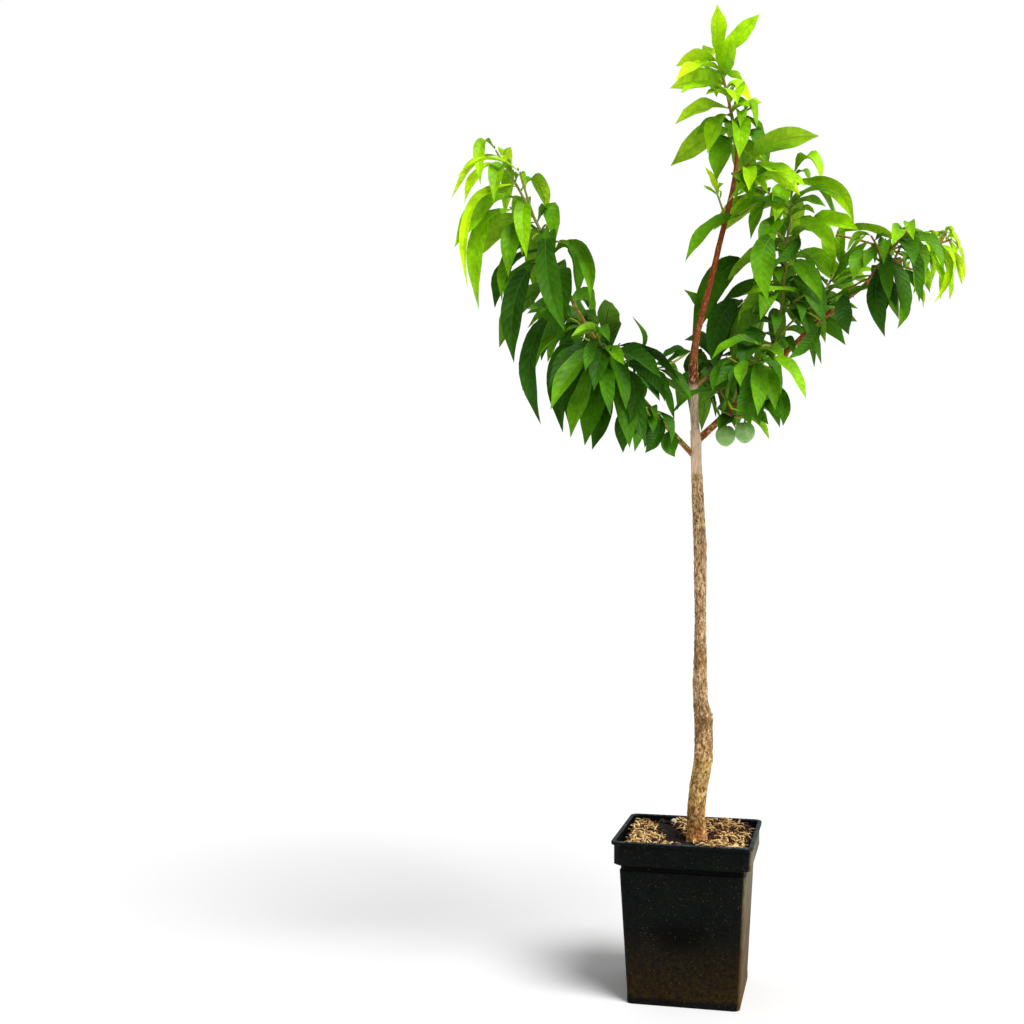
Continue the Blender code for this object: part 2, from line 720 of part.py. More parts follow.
def plan_mass(spec, stem, others):
    """The stems, fruit and leaves of one mass, kept in its own space and clear of all that is there."""
    rng = random.Random(spec["seed"])
    own = [tube_surface(*stem)]
    fruit = []
    for share in spec.get("fruit", ()):
        top, _ = path_place(stem[0], share)
        centre = top - Vector((0, 0, FRUIT_STALK + FRUIT_RADIUS))
        fruit.append((top, centre))
        own.append(ball_surface(centre, FRUIT_RADIUS + TEST_MARGIN))
        for ahead in FRUIT_OPEN:
            own.append(ball_surface(centre - Vector((0, ahead, 0)), FRUIT_RADIUS * 0.9))
    stems = [stem]
    counts = [(spec["leaves"], spec["first"])]
    phase = rng.uniform(0, 2 * math.pi)
    twig_count, _, twig_leaves = spec.get("twigs", (0, 0, 0))
    for index in range(twig_count):
        share = between(TWIG_SHARES, index / max(twig_count - 1, 1))
        twig = grow_twig(rng, spec, stem[0], share, phase + index * TURN_PER_LEAF, own, others)
        if twig:
            stems.append(twig)
            counts.append((twig_leaves, TWIG_FIRST_LEAF))
    leaves = []
    for (path, _), (count, first) in zip(stems, counts):
        for index in range(count):
            share = between((first, 1.0), index / (count - 1))
            turn = phase + index * TURN_PER_LEAF
            leaf = grow_leaf(rng, spec, path, share, turn, own, others)
            if leaf:
                leaves.append(leaf)
    return {"stems": stems, "fruit": fruit, "leaves": leaves, "surfaces": own}


def plan_foliage(lines):
    """Every mass in turn. A leaf stays clear of the limbs, of every stem and of the masses before it."""
    limbs = [tube_surface(*line) for line in lines.values()]
    stems = {name: stem_of(spec, lines) for name, spec in MASSES.items()}
    plans = {}
    for name, spec in MASSES.items():
        others = limbs + [tube_surface(*stem) for other, stem in stems.items() if other != name]
        for plan in plans.values():
            others += plan["surfaces"]
        plans[name] = plan_mass(spec, stems[name], others)
    return plans


# Foliage solids


def bm_object(name, bm, home):
    mesh = bpy.data.meshes.new(name)
    bm.to_mesh(mesh)
    bm.free()
    return add_object(name, mesh, home)


def keep_largest(mesh):
    """Leaves only the largest connected piece, so that scraps and sealed hollows go."""
    bm = bmesh.new()
    bm.from_mesh(mesh)
    bm.faces.ensure_lookup_table()
    seen, pieces = set(), []
    for face in bm.faces:
        if face in seen:
            continue
        piece, queue = [], [face]
        seen.add(face)
        while queue:
            current = queue.pop()
            piece.append(current)
            for edge in current.edges:
                for other in edge.link_faces:
                    if other not in seen:
                        seen.add(other)
                        queue.append(other)
        pieces.append(piece)
    pieces.sort(key=len)
    dropped = [face for piece in pieces[:-1] for face in piece]
    bmesh.ops.delete(bm, geom=dropped, context="FACES")
    bm.to_mesh(mesh)
    bm.free()


def make_mass(name, plan, parts, material):
    """Joins one mass's stem, leaves and fruit into a single solid."""
    pieces = make_collection(f"{name} pieces")
    for index, leaf in enumerate(plan["leaves"]):
        thickness = max(LEAF_THICKNESS, leaf["length"] / 90)
        bm_object(f"leaf {index}", blade(leaf, LEAF_STATIONS, thickness), pieces)
    for index, (top, centre) in enumerate(plan["fruit"]):
        tube(f"fruit stalk {index}", [top, centre], FRUIT_STALK_RADII, STEM_RINGS, pieces)
        bm = bmesh.new()
        bmesh.ops.create_icosphere(
            bm, subdivisions=2, radius=FRUIT_RADIUS, matrix=Matrix.Translation(centre)
        )
        bm_object(f"fruit {index}", bm, pieces)
    for index, (path, radii) in enumerate(plan["stems"][1:]):
        tube(f"twig {index}", path, radii, STEM_RINGS, pieces)
    mass = tube(name, *plan["stems"][0], STEM_RINGS, parts)
    modifier = mass.modifiers.new("join leaves", "BOOLEAN")
    modifier.operation = "UNION"
    modifier.operand_type = "COLLECTION"
    modifier.collection = pieces
    modifier.solver = "MANIFOLD"
    joined = evaluated_mesh(mass)
    mass.modifiers.clear()
    mass.data = joined
    keep_largest(joined)
    joined.materials.clear()
    joined.materials.append(material)
    for obj in list(pieces.objects):
        bpy.data.objects.remove(obj)
    bpy.data.collections.remove(pieces)
    return mass


def main():
    clear_scene()
    parts = make_collection(OBJECT_NAME)
    cutters = make_collection("Cutters")
    materials = {name: make_material(name, *finish) for name, finish in COLOURS.items()}
    make_pot(parts, cutters, materials["pot"])
    make_mix(parts, cutters, materials["mix"])
    lines = limb_lines()
    make_limbs(lines, parts, cutters, materials)
    for name, plan in plan_foliage(lines).items():
        make_mass(name, plan, parts, materials["foliage"])


main()
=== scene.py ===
import math
import random

import bmesh
import bpy
from mathutils import Matrix, Vector
from mathutils import noise as blenderNoise
from mathutils.bvhtree import BVHTree


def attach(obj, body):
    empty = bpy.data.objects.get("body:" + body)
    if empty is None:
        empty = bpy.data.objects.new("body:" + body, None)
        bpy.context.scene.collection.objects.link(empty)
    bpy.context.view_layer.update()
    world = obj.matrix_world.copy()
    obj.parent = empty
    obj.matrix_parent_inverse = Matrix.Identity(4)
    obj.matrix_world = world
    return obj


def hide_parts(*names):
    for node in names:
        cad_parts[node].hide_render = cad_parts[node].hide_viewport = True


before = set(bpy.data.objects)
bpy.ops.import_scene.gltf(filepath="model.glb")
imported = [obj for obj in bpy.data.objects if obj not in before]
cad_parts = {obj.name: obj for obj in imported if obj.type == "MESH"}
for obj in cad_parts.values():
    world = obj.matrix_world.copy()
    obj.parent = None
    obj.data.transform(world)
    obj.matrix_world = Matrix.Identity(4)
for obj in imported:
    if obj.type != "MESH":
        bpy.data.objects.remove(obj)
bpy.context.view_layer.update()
scene = bpy.context.scene
scene.view_settings.view_transform = "Standard"


# Small helpers for meshes, node trees and materials


def tint(red, green, blue):  # a colour picked on screen, 0 to 255
    def linear(value):
        value /= 255
        return value / 12.92 if value <= 0.04045 else ((value + 0.055) / 1.055) ** 2.4
    return (linear(red), linear(green), linear(blue), 1.0)


def addPiece(name, mesh):
    piece = bpy.data.objects.new(name, mesh)
    scene.collection.objects.link(piece)
    return piece


def finishPiece(piece, nodes=(), material=None):
    if material:
        piece.data.materials.clear()
        piece.data.materials.append(material)
    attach(piece, "root")
    if nodes:
        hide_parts(*nodes)
    print("piece", piece.name, "faces", len(piece.data.polygons))
    return piece


def put(tree, kind, values=None, **settings):  # one node; a value is a socket to join or a plain number
    node = tree.nodes.new(kind)
    for key, setting in settings.items():
        setattr(node, key, setting)
    for key, value in (values or {}).items():
        if isinstance(value, bpy.types.NodeSocket):
            tree.links.new(value, node.inputs[key])
        else:
            node.inputs[key].default_value = value
    return node


def maths(tree, operation, *values):
    return put(tree, "ShaderNodeMath", dict(enumerate(values)), operation=operation).outputs[0]


def vectors(tree, operation, *values):
    node = put(tree, "ShaderNodeVectorMath", dict(enumerate(values)), operation=operation)
    return node.outputs["Value" if operation in ("DOT_PRODUCT", "LENGTH") else "Vector"]


def scaled(tree, vector, factor):
    return put(tree, "ShaderNodeVectorMath", {0: vector, "Scale": factor}, operation="SCALE").outputs["Vector"]


def attribute(tree, name, kind="FLOAT"):
    return put(tree, "GeometryNodeInputNamedAttribute", {"Name": name}, data_type=kind).outputs["Attribute"]


def stored(tree, geometry, name, value, kind="FLOAT", domain="POINT"):
    values = {"Geometry": geometry, "Name": name, "Value": value}
    node = put(tree, "GeometryNodeStoreNamedAttribute", values, data_type=kind, domain=domain)
    return node.outputs["Geometry"]


def startTree(name, sizes):  # a geometry tree with named inputs; returns it and its inputs by name
    tree = bpy.data.node_groups.new(name, "GeometryNodeTree")
    face = tree.interface
    face.new_socket("Geometry", in_out="OUTPUT", socket_type="NodeSocketGeometry")
    face.new_socket("Geometry", in_out="INPUT", socket_type="NodeSocketGeometry")
    for key, value in sizes.items():
        kind = "NodeSocketInt" if isinstance(value, int) else "NodeSocketFloat"
        if value is None:  # stands for a material
            kind = "NodeSocketMaterial"
        face.new_socket(key, in_out="INPUT", socket_type=kind)
    start = tree.nodes.new("NodeGroupInput")
    return tree, start.outputs


def endTree(tree, geometry, *coats):  # a coat is a material and, if it isn't for all faces, which ones
    end = tree.nodes.new("NodeGroupOutput")
    geometry = put(tree, "GeometryNodeRealizeInstances", {"Geometry": geometry}).outputs["Geometry"]
    for material, faces in coats:
        values = {"Geometry": geometry, "Material": material}
        if faces is not None:
            values["Selection"] = faces
        geometry = put(tree, "GeometryNodeSetMaterial", values).outputs["Geometry"]
    tree.links.new(geometry, end.inputs["Geometry"])


def runTree(name, mesh, tree, sizes):  # the tree's result on this mesh, as a plain mesh in a new piece
    source = addPiece(name + "Source", mesh)
    modifier = source.modifiers.new("grow", "NODES")
    modifier.node_group = tree
    for item in tree.interface.items_tree:
        if item.in_out == "INPUT" and item.name in sizes:
            modifier[item.identifier] = sizes[item.name]
    bpy.context.view_layer.update()
    graph = bpy.context.evaluated_depsgraph_get()
    plain = bpy.data.meshes.new_from_object(source.evaluated_get(graph), depsgraph=graph)
    plain.name = name
    bpy.data.objects.remove(source)
    return addPiece(name, plain)


def dropAttributes(piece, *names):
    for name in names:
        found = piece.data.attributes.get(name)
        if found:
            piece.data.attributes.remove(found)


def startMaterial(name, colour, roughness):
    material = bpy.data.materials.new(name)
    material.use_nodes = True
    shader = material.node_tree.nodes["Principled BSDF"]
    shader.inputs["Base Color"].default_value = colour
    shader.inputs["Roughness"].default_value = roughness
    return material, material.node_tree, shader


def place(tree, scale=(1, 1, 1), turn=(0, 0, 0)):  # the object's own coordinates, stretched and turned
    spot = put(tree, "ShaderNodeTexCoord").outputs["Object"]
    return put(tree, "ShaderNodeMapping", {"Vector": spot, "Scale": scale, "Rotation": turn}).outputs["Vector"]


def noise(tree, vector, scale, detail=3.0, roughness=0.55):
    values = {"Vector": vector, "Scale": scale, "Detail": detail, "Roughness": roughness}
    return put(tree, "ShaderNodeTexNoise", values).outputs[0]


def ramp(tree, factor, *stops):  # stops are (place, colour)
    node = put(tree, "ShaderNodeValToRGB", {"Fac": factor})
    while len(node.color_ramp.elements) < len(stops):
        node.color_ramp.elements.new(0.5)
    for element, (position, colour) in zip(node.color_ramp.elements, stops):
        element.position = position
        element.color = colour
    return node.outputs["Color"]


def grey(value):
    return (value, value, value, 1.0)


def blend(tree, factor, first, second, mode="MIX"):
    node = put(tree, "ShaderNodeMix", {0: factor, 6: first, 7: second}, data_type="RGBA", blend_type=mode)
    return node.outputs[2]


def relief(tree, shader, height, distance, strength=1.0):
    values = {"Height": height, "Distance": distance, "Strength": strength}
    tree.links.new(put(tree, "ShaderNodeBump", values).outputs["Normal"], shader.inputs["Normal"])


# The camera

viewSettings = {"spot": (-0.2020, -1.65, 0.5458), "turn": (math.pi / 2, 0, 0), "lens": 50.76, "sensor": 36}


def setCamera():
    data = bpy.data.cameras.new("frontCamera")
    data.lens = viewSettings["lens"]
    data.sensor_width = viewSettings["sensor"]
    camera = bpy.data.objects.new("frontCamera", data)
    camera.location = viewSettings["spot"]
    camera.rotation_euler = viewSettings["turn"]
    scene.collection.objects.link(camera)
    scene.camera = camera


# The limbs' lines, by the same rule as the solids

gap = 0.0003  # between pieces that touch

trunkLine = {  # height, lean along X, radius
    "stations": (
        (0.1703, 0.0092, 0.0128),
        (0.1775, 0.0091, 0.0113),
        (0.2018, 0.0083, 0.0103),
        (0.2338, 0.0115, 0.0102),
        (0.2624, 0.0162, 0.0103),
        (0.3020, 0.0169, 0.0102),
        (0.3310, 0.0134, 0.0086),
        (0.3813, 0.0131, 0.0073),
        (0.4270, 0.0133, 0.0065),
        (0.5035, 0.0128, 0.0072),
        (0.5904, 0.0090, 0.0063),
        (0.6240, 0.0083, 0.0062),
        (0.6400, 0.0075, 0.0054),
    ),
    "steps": 2,
}

limbLines = {
    "leader": {
        "foot": (0.0075, 0.0, 0.6403), "headings": (0, 0), "rises": (94, 90, 74, 77, 76, 86),
        "length": 0.322, "radii": (0.0048, 0.0054, 0.0040, 0.0036, 0.0032, 0.0029, 0.0024), "steps": 12,
    },
    "left_bough": {
        "foot": (0.0045, 0.0, 0.6115), "headings": (184, 190, 176), "rises": (46, 48, 53, 66),
        "length": 0.243, "radii": (0.0034, 0.0027, 0.0024, 0.0021), "steps": 9,
    },
    "right_bough": {
        "foot": (0.0095, 0.0, 0.6270), "headings": (-8, -10, 2), "rises": (42, 46, 45, 40, 36),
        "length": 0.274, "radii": (0.0044, 0.0034, 0.0031, 0.0028, 0.0024), "steps": 9,
    },
}


def between(values, share):
    spot = share * (len(values) - 1)
    index = min(int(spot), len(values) - 2)
    return values[index] + (values[index + 1] - values[index]) * (spot - index)


def direction(heading, rise):
    heading, rise = math.radians(heading), math.radians(rise)
    return Vector((math.cos(rise) * math.cos(heading), math.cos(rise) * math.sin(heading), math.sin(rise)))


def grownPath(foot, headings, rises, length, steps):
    path = [Vector(foot)]
    for step in range(steps):
        share = (step + 0.5) / steps
        path.append(path[-1] + direction(between(headings, share), between(rises, share)) * length / steps)
    return path


def taper(radii, count):
    return [between(radii, index / (count - 1)) for index in range(count)]


def catmull(before, start, end, after, share):
    slopeIn, slopeOut = (end - before) / 2, (after - start) / 2
    square, cube = share * share, share * share * share
    return (
        (2 * cube - 3 * square + 1) * start
        + (cube - 2 * square + share) * slopeIn
        + (3 * square - 2 * cube) * end
        + (cube - square) * slopeOut
    )


def trunkPath():
    stations, steps = trunkLine["stations"], trunkLine["steps"]
    path, radii = [], []
    for index in range(len(stations) - 1):
        before = stations[max(index - 1, 0)]
        start, end = stations[index], stations[index + 1]
        after = stations[min(index + 2, len(stations) - 1)]
        for step in range(steps):
            height, lean, radius = (
                catmull(before[axis], start[axis], end[axis], after[axis], step / steps) for axis in range(3)
            )
            path.append(Vector((lean, 0, height)))
            radii.append(radius)
    height, lean, radius = stations[-1]
    path.append(Vector((lean, 0, height)))
    radii.append(radius)
    path[1].x = path[0].x
    return path, radii


def makeLines():
    lines = {"trunk": trunkPath()}
    for name, limb in limbLines.items():
        path = grownPath(limb["foot"], limb["headings"], limb["rises"], limb["length"], limb["steps"])
        lines[name] = (path, taper(limb["radii"], len(path)))
    return lines


# Foliage: the solids' growth rule, then finer twigs and leaves in the same spaces

leafRule = {
    "turnPerLeaf": math.radians(144),  # two turns in five leaves
    "openAngles": (62, 36),
    "openVaries": (0.8, 1.2),
    "stalk": 0.07,  # share of the length
    "belly": 0.85,  # below 1 the widest place lies nearer the stem
    "fullness": 0.75,
    "widthRatio": 0.255,
    "widthVaries": (0.88, 1.10),
    "lengthVaries": (0.78, 1.10),
    "hangVaries": (-0.22, 0.18),
    "mostHang": 0.97,
    "kneeShares": (0.28, 0.46),
    "bow": 0.12,  # how far a blade may curve to one side
    "roll": 0.3,
    "tipTwist": 0.4,
    "facing": (0.35, 0.95),
    "backFrom": 0.35,
    "fold": math.radians(16),
    "stations": (0.0, 0.18, 0.44, 0.76, 1.0),
    "root": 0.14,
    "testThickness": 0.0024,
    "testMargin": 0.0010,
    "tries": 18,
    "turnSearch": 1.8,
    "lengthSearch": 0.25,
    "hangSearch": 0.3,
    "stalkHalfWidth": 0.0009,
}

stemRule = {
    "step": 0.026,
    "bend": 12,
    "tipRadius": 0.0011,
    "limbFacet": 0.97,
    "stemFacet": 0.85,
    "twigAngle": math.radians(48),
    "twigBend": 20,
    "twigShares": (0.25, 0.85),
    "twigLengthVaries": (0.85, 1.15),
    "twigFirstLeaf": 0.3,
    "twigFootRadius": 0.0014,
    "twigSteps": 3,
    "fruitRadius": 0.0117,
    "fruitStalk": 0.006,
    "fruitOpen": (0.020, 0.042),  # no leaf hangs this far in front of a fruit
}

finerRule = {"twigLeafShare": 0.62, "smallLeafShare": 0.5}

# each mass's tint gives the green at its foot and at its tip, 0 the darkest and 1 the lightest: partly leaf age, partly
# painted light and shade, lighter for masses in the lit outer crown and darker for those deep in shade
crownMasses = {
    "foliage_crown_top": {
        "limb": "leader", "at": 1.0, "heading": 1, "rises": (97, 108),
        "length": 0.114, "radius": 0.0024, "leaves": 21, "first": 0.05,
        "leaf": (0.109, 0.066), "hang": (0.8, 0.47), "seed": 822, "broad": 1.26,
        "space": ((-0.042, -0.085, 0.912), (0.092, 0.085, 1.122)),
        "tint": (0.4, 1.0), "finer": (2, 0.03, 4, 8),
    },
    "foliage_leader_high": {
        "limb": "leader", "at": 0.903, "heading": -56, "rises": (33, 21),
        "length": 0.024, "radius": 0.0015, "leaves": 5, "first": 0.3,
        "leaf": (0.065, 0.108), "hang": (0.61, 0.36), "seed": 309,
        "space": ((0.045, -0.085, 0.872), (0.155, 0.08, 0.985)),
        "tint": (0.42, 0.74), "finer": (1, 0.02, 3, 4),
    },
    "foliage_leader_spur": {
        "limb": "leader", "at": 0.76, "heading": 146, "rises": (71, 69),
        "length": 0.023, "radius": 0.0013, "leaves": 5, "first": 0.45,
        "leaf": (0.028, 0.041), "hang": (0.19, 0.27), "seed": 96,
        "space": ((-0.03, -0.04, 0.852), (0.045, 0.05, 0.945)),
        "tint": (0.6, 0.9), "finer": (0, 0, 0, 3),
    },
    "foliage_left_outer": {
        "limb": "left_bough", "at": 1.0, "heading": 182, "rises": (68, 58),
        "length": 0.172, "radius": 0.0021, "leaves": 22, "first": 0.02,
        "leaf": (0.15, 0.111), "hang": (0.95, 0.83), "seed": 816,
        "space": ((-0.275, -0.125, 0.64), (-0.078, 0.125, 0.968)),
        "tint": (0.07, 0.9), "finer": (0, 0, 0, 2),
    },
    "foliage_left_mid": {
        "limb": "left_bough", "at": 0.548, "heading": 261, "rises": (21, -15),
        "length": 0.087, "radius": 0.0018, "leaves": 14, "first": 0.14,
        "leaf": (0.117, 0.112), "hang": (0.7, 0.6), "seed": 180,
        "space": ((-0.17, -0.16, 0.606), (-0.04, 0.03, 0.79)),
        "tint": (0.03, 0.28), "finer": (2, 0.04, 4, 5),
    },
    "foliage_left_back": {
        "limb": "left_bough", "at": 0.758, "heading": 106, "rises": (14, 33),
        "length": 0.087, "radius": 0.0018, "leaves": 12, "first": 0.12,
        "leaf": (0.124, 0.105), "hang": (0.77, 0.62), "seed": 877,
        "space": ((-0.19, 0.0, 0.62), (-0.06, 0.19, 0.82)),
        "tint": (0.15, 0.4), "finer": (3, 0.045, 5, 8),
    },
    "foliage_left_inner": {
        "limb": "left_bough", "at": 0.468, "heading": -30, "rises": (26, 5),
        "length": 0.045, "radius": 0.0015, "leaves": 10, "first": 0.14,
        "leaf": (0.065, 0.066), "hang": (0.7, 0.43), "seed": 236,
        "space": ((-0.098, -0.09, 0.64), (0.0, 0.08, 0.775)),
        "tint": (0.05, 0.25), "finer": (1, 0.03, 4, 4),
    },
    "foliage_left_low": {
        "limb": "left_bough", "at": 0.252, "heading": 252, "rises": (21, -15),
        "length": 0.039, "radius": 0.0013, "leaves": 9, "first": 0.3,
        "leaf": (0.054, 0.056), "hang": (0.92, 0.42), "seed": 127,
        "space": ((-0.085, -0.08, 0.602), (-0.004, 0.05, 0.7)),
        "tint": (0.08, 0.32), "finer": (1, 0.025, 3, 3),
    },
    "foliage_upright": {
        "limb": "right_bough", "at": 0.426, "heading": 44, "rises": (70, 84, 80),
        "length": 0.222, "radius": 0.0023, "leaves": 25, "first": 0.08,
        "leaf": (0.118, 0.125), "hang": (0.82, 0.65), "seed": 808,
        "space": ((-0.012, -0.1, 0.699), (0.2, 0.155, 0.962)),
        "tint": (0.11, 0.66), "finer": (5, 0.045, 5, 16),
    },
    "foliage_back": {
        "limb": "leader", "at": 0.145, "heading": 47, "rises": (26, 53),
        "length": 0.084, "radius": 0.0020, "leaves": 26, "first": 0.16,
        "leaf": (0.113, 0.107), "hang": (0.95, 0.22), "seed": 295,
        "space": ((-0.014, 0.01, 0.64), (0.115, 0.215, 0.88)),
        "tint": (0, 0.35), "finer": (4, 0.045, 5, 10),
    },
    "foliage_fork": {
        "limb": "right_bough", "at": 0.08, "heading": -56, "rises": (24, -8),
        "length": 0.052, "radius": 0.0019, "leaves": 14, "first": 0.1,
        "leaf": (0.049, 0.096), "hang": (0.26, 0.6), "seed": 7,
        "fruit": (0.34, 0.98),
        "space": ((-0.03, -0.14, 0.612), (0.09, 0.03, 0.745)),
        "tint": (0.15, 0.42), "finer": (1, 0.025, 3, 5),
    },
    "foliage_right_low": {
        "limb": "right_bough", "at": 0.2, "heading": -78, "rises": (58, -4),
        "length": 0.093, "radius": 0.0018, "leaves": 16, "first": 0.12,
        "leaf": (0.074, 0.082), "hang": (0.82, 0.73), "seed": 325,
        "space": ((-0.004, -0.16, 0.632), (0.122, 0.06, 0.775)),
        "tint": (0.05, 0.42), "finer": (2, 0.035, 4, 8),
    },
    "foliage_right_mid": {
        "limb": "right_bough", "at": 0.666, "heading": 22, "rises": (74, 44),
        "length": 0.082, "radius": 0.0019, "leaves": 20, "first": 0.1,
        "leaf": (0.086, 0.057), "hang": (0.43, 0.2), "seed": 128,
        "space": ((0.095, -0.08, 0.705), (0.215, 0.11, 0.885)),
        "tint": (0.24, 0.62), "finer": (3, 0.035, 5, 10),
    },
    "foliage_right_front": {
        "limb": "right_bough", "at": 0.934, "heading": -64, "rises": (39, 25),
        "length": 0.089, "radius": 0.0017, "leaves": 17, "first": 0.12,
        "leaf": (0.084, 0.078), "hang": (0.94, 0.72), "seed": 423,
        "space": ((0.12, -0.165, 0.72), (0.262, -0.005, 0.86)),
        "tint": (0.1, 0.5), "finer": (2, 0.035, 4, 8),
    },
    "foliage_right_outer": {
        "limb": "right_bough", "at": 1.0, "heading": 2, "rises": (36, 16),
        "length": 0.094, "radius": 0.0021, "leaves": 13, "first": 0.03,
        "leaf": (0.072, 0.048), "hang": (0.86, 0.95), "seed": 212,
        "twigs": (4, 0.036, 6),
        "space": ((0.16, -0.1, 0.735), (0.322, 0.1, 0.888)),
        "tint": (0.14, 1.0), "finer": (3, 0.035, 5, 10),
    },
}


def outline(reach):
    if reach <= leafRule["stalk"]:
        return 0.0
    bladeShare = (reach - leafRule["stalk"]) / (1 - leafRule["stalk"])
    return math.sin(math.pi * bladeShare ** leafRule["belly"]) ** leafRule["fullness"]


def leafPoint(leaf, along, across):
    centre = (1 - along) ** 2 * leaf["base"] + 2 * along * (1 - along) * leaf["knee"] + along**2 * leaf["tip"]
    tangent = (1 - along) * (leaf["knee"] - leaf["base"]) + along * (leaf["tip"] - leaf["knee"])
    tangent.normalize()
    side = leaf["side"].lerp(leaf["tipSide"], along)
    side = (side - tangent * side.dot(tangent)).normalized()
    normal = tangent.cross(side)
    reach = along * (2 * leaf["kneeShare"] + (1 - 2 * leaf["kneeShare"]) * along)
    half = leaf["width"] / 2 * outline(reach)
    if along < 1:
        half = max(half, leafRule["stalkHalfWidth"])
    lift = half * abs(across) * math.sin(leafRule["fold"])
    return centre + side * half * across * math.cos(leafRule["fold"]) + normal * lift, normal


def testBlade(leaf, first):  # the solid leaf's shape from a share of its length on
    stations = (first, *[station for station in leafRule["stations"] if station > first])
    thickness = leafRule["testThickness"]
    bm = bmesh.new()
    rows = len(stations) - 1
    bmesh.ops.create_grid(bm, x_segments=rows, y_segments=2, size=1)
    under = bmesh.ops.duplicate(bm, geom=bm.faces[:])["geom"]
    copied = {vert for vert in under if isinstance(vert, bmesh.types.BMVert)}
    bmesh.ops.reverse_faces(bm, faces=[face for face in under if isinstance(face, bmesh.types.BMFace)])
    for vert in bm.verts:
        along = stations[round((vert.co.x + 1) / 2 * rows)]
        across = round(vert.co.y)
        spot, normal = leafPoint(leaf, along, across)
        if across == 0 and along < 1:
            spot += normal * thickness * (-0.5 if vert in copied else 0.5)
        vert.co = spot
    bmesh.ops.remove_doubles(bm, verts=bm.verts, dist=1e-5)
    rim = [edge for edge in bm.edges if edge.is_boundary]
    bmesh.ops.holes_fill(bm, edges=rim, sides=4)
    surface = BVHTree.FromBMesh(bm)
    corners = [vert.co.copy() for vert in bm.verts]
    bm.free()
    return surface, corners


def tubeSkin(path, radii):
    corners, faces = [], []
    for index, spot in enumerate(path):
        ahead = path[min(index + 1, len(path) - 1)] - path[max(index - 1, 0)]
        side = ahead.cross(Vector((0, 1, 0))).normalized()
        over = ahead.cross(side).normalized()
        reach = (radii[index] + leafRule["testMargin"]) * math.sqrt(2)
        corners += [spot + side * reach, spot + over * reach, spot - side * reach, spot - over * reach]
        if index:
            first = 4 * index - 4
            faces += [
                (first + turn, first + (turn + 1) % 4, first + 4 + (turn + 1) % 4, first + 4 + turn)
                for turn in range(4)
            ]
    return BVHTree.FromPolygons(corners, faces)


def ballSkin(centre, radius):
    bm = bmesh.new()
    bmesh.ops.create_icosphere(bm, subdivisions=2, radius=radius, matrix=Matrix.Translation(centre))
    surface = BVHTree.FromBMesh(bm)
    bm.free()
    return surface


def pathPlace(path, share):
    spot = share * (len(path) - 1)
    index = min(int(spot), len(path) - 2)
    ahead = path[index + 1] - path[index]
    return path[index] + ahead * (spot - index), ahead.normalized()


def stemFoot(limbLine, at, heading, stemRadius):
    path, radii = limbLine
    spot, ahead = pathPlace(path, at)
    if at == 1.0:
        tilt = math.sqrt(max(1 - heading.dot(ahead) ** 2, 0))
        return spot + ahead * (gap + stemRadius * tilt)
    slope = min(abs(heading.dot(ahead)), 0.9)
    width = between(radii, at) * stemRule["limbFacet"] + gap + stemRadius * stemRule["stemFacet"] * slope
    return spot + heading * width / math.sqrt(1 - slope * slope)


def makeLeaf(rng, base, stemAhead, turn, length, hang, openAngle):
    flat = stemAhead.cross(Vector((0, 0, 1)))
    if flat.length < 0.05:
        flat = Vector((1, 0, 0))
    flat.normalize()
    radial = Matrix.Rotation(turn, 3, stemAhead) @ flat
    leave = (stemAhead * math.cos(openAngle) + radial * math.sin(openAngle)).normalized()
    fall = leave.lerp(Vector((0, 0, -1)), hang)
    if fall.length < 0.1:
        fall = radial.copy()
    fall.normalize()
    side = Vector((0, 0, 1)).cross(leave)
    if side.length < 0.2:
        side = radial.cross(stemAhead)
    side.normalize()
    side = Matrix.Rotation(rng.uniform(-leafRule["roll"], leafRule["roll"]), 3, leave) @ side
    outward = Vector((0, 1 if radial.y > leafRule["backFrom"] else -1, 0.2))
    facing = side.lerp(outward.cross(fall).normalized(), rng.uniform(*leafRule["facing"])).normalized()
    kneeShare = rng.uniform(*leafRule["kneeShares"])
    bend = base + leave * length * kneeShare
    bow = length * rng.uniform(-leafRule["bow"], leafRule["bow"])
    return {
        "base": base,
        "knee": bend + side * bow,
        "kneeShare": kneeShare,
        "tip": bend + fall * length * (1 - kneeShare),
        "side": side.lerp(facing, 0.5),
        "tipSide": Matrix.Rotation(rng.uniform(-leafRule["tipTwist"], leafRule["tipTwist"]), 3, fall) @ facing,
        "width": length * leafRule["widthRatio"] * rng.uniform(*leafRule["widthVaries"]),
        "length": length,
    }


def inside(space, corners):
    low, high = space
    return all(low[axis] <= corner[axis] <= high[axis] for corner in corners for axis in range(3))


def touches(surface, obstacles):
    return any(surface.overlap(other) for other in obstacles)


def growLeaf(rng, mass, stem, share, turn, own, others):
    spot, ahead = pathPlace(stem, share)
    length = between(mass["leaf"], share)
    hang = between(mass["hang"], share)
    tries = leafRule["tries"]
    for attempt in range(tries):
        spread = attempt / tries
        tryTurn = turn + rng.uniform(-leafRule["turnSearch"], leafRule["turnSearch"]) * spread
        tryLength = length * rng.uniform(*leafRule["lengthVaries"]) * (1 - leafRule["lengthSearch"] * spread)
        tryHang = hang + rng.uniform(*leafRule["hangVaries"]) - leafRule["hangSearch"] * spread * rng.random()
        tryHang = min(max(tryHang, 0), leafRule["mostHang"])
        openAngle = math.radians(between(leafRule["openAngles"], share)) * rng.uniform(*leafRule["openVaries"])
        leaf = makeLeaf(rng, spot, ahead, tryTurn, tryLength, tryHang, openAngle)
        leaf["width"] *= mass.get("broad", 1)
        outer, corners = testBlade(leaf, leafRule["root"])
        if not inside(mass["space"], corners) or touches(outer, own):
            continue
        whole, _ = testBlade(leaf, 0)
        if not touches(whole, others):
            own.append(outer)
            return leaf
    return None


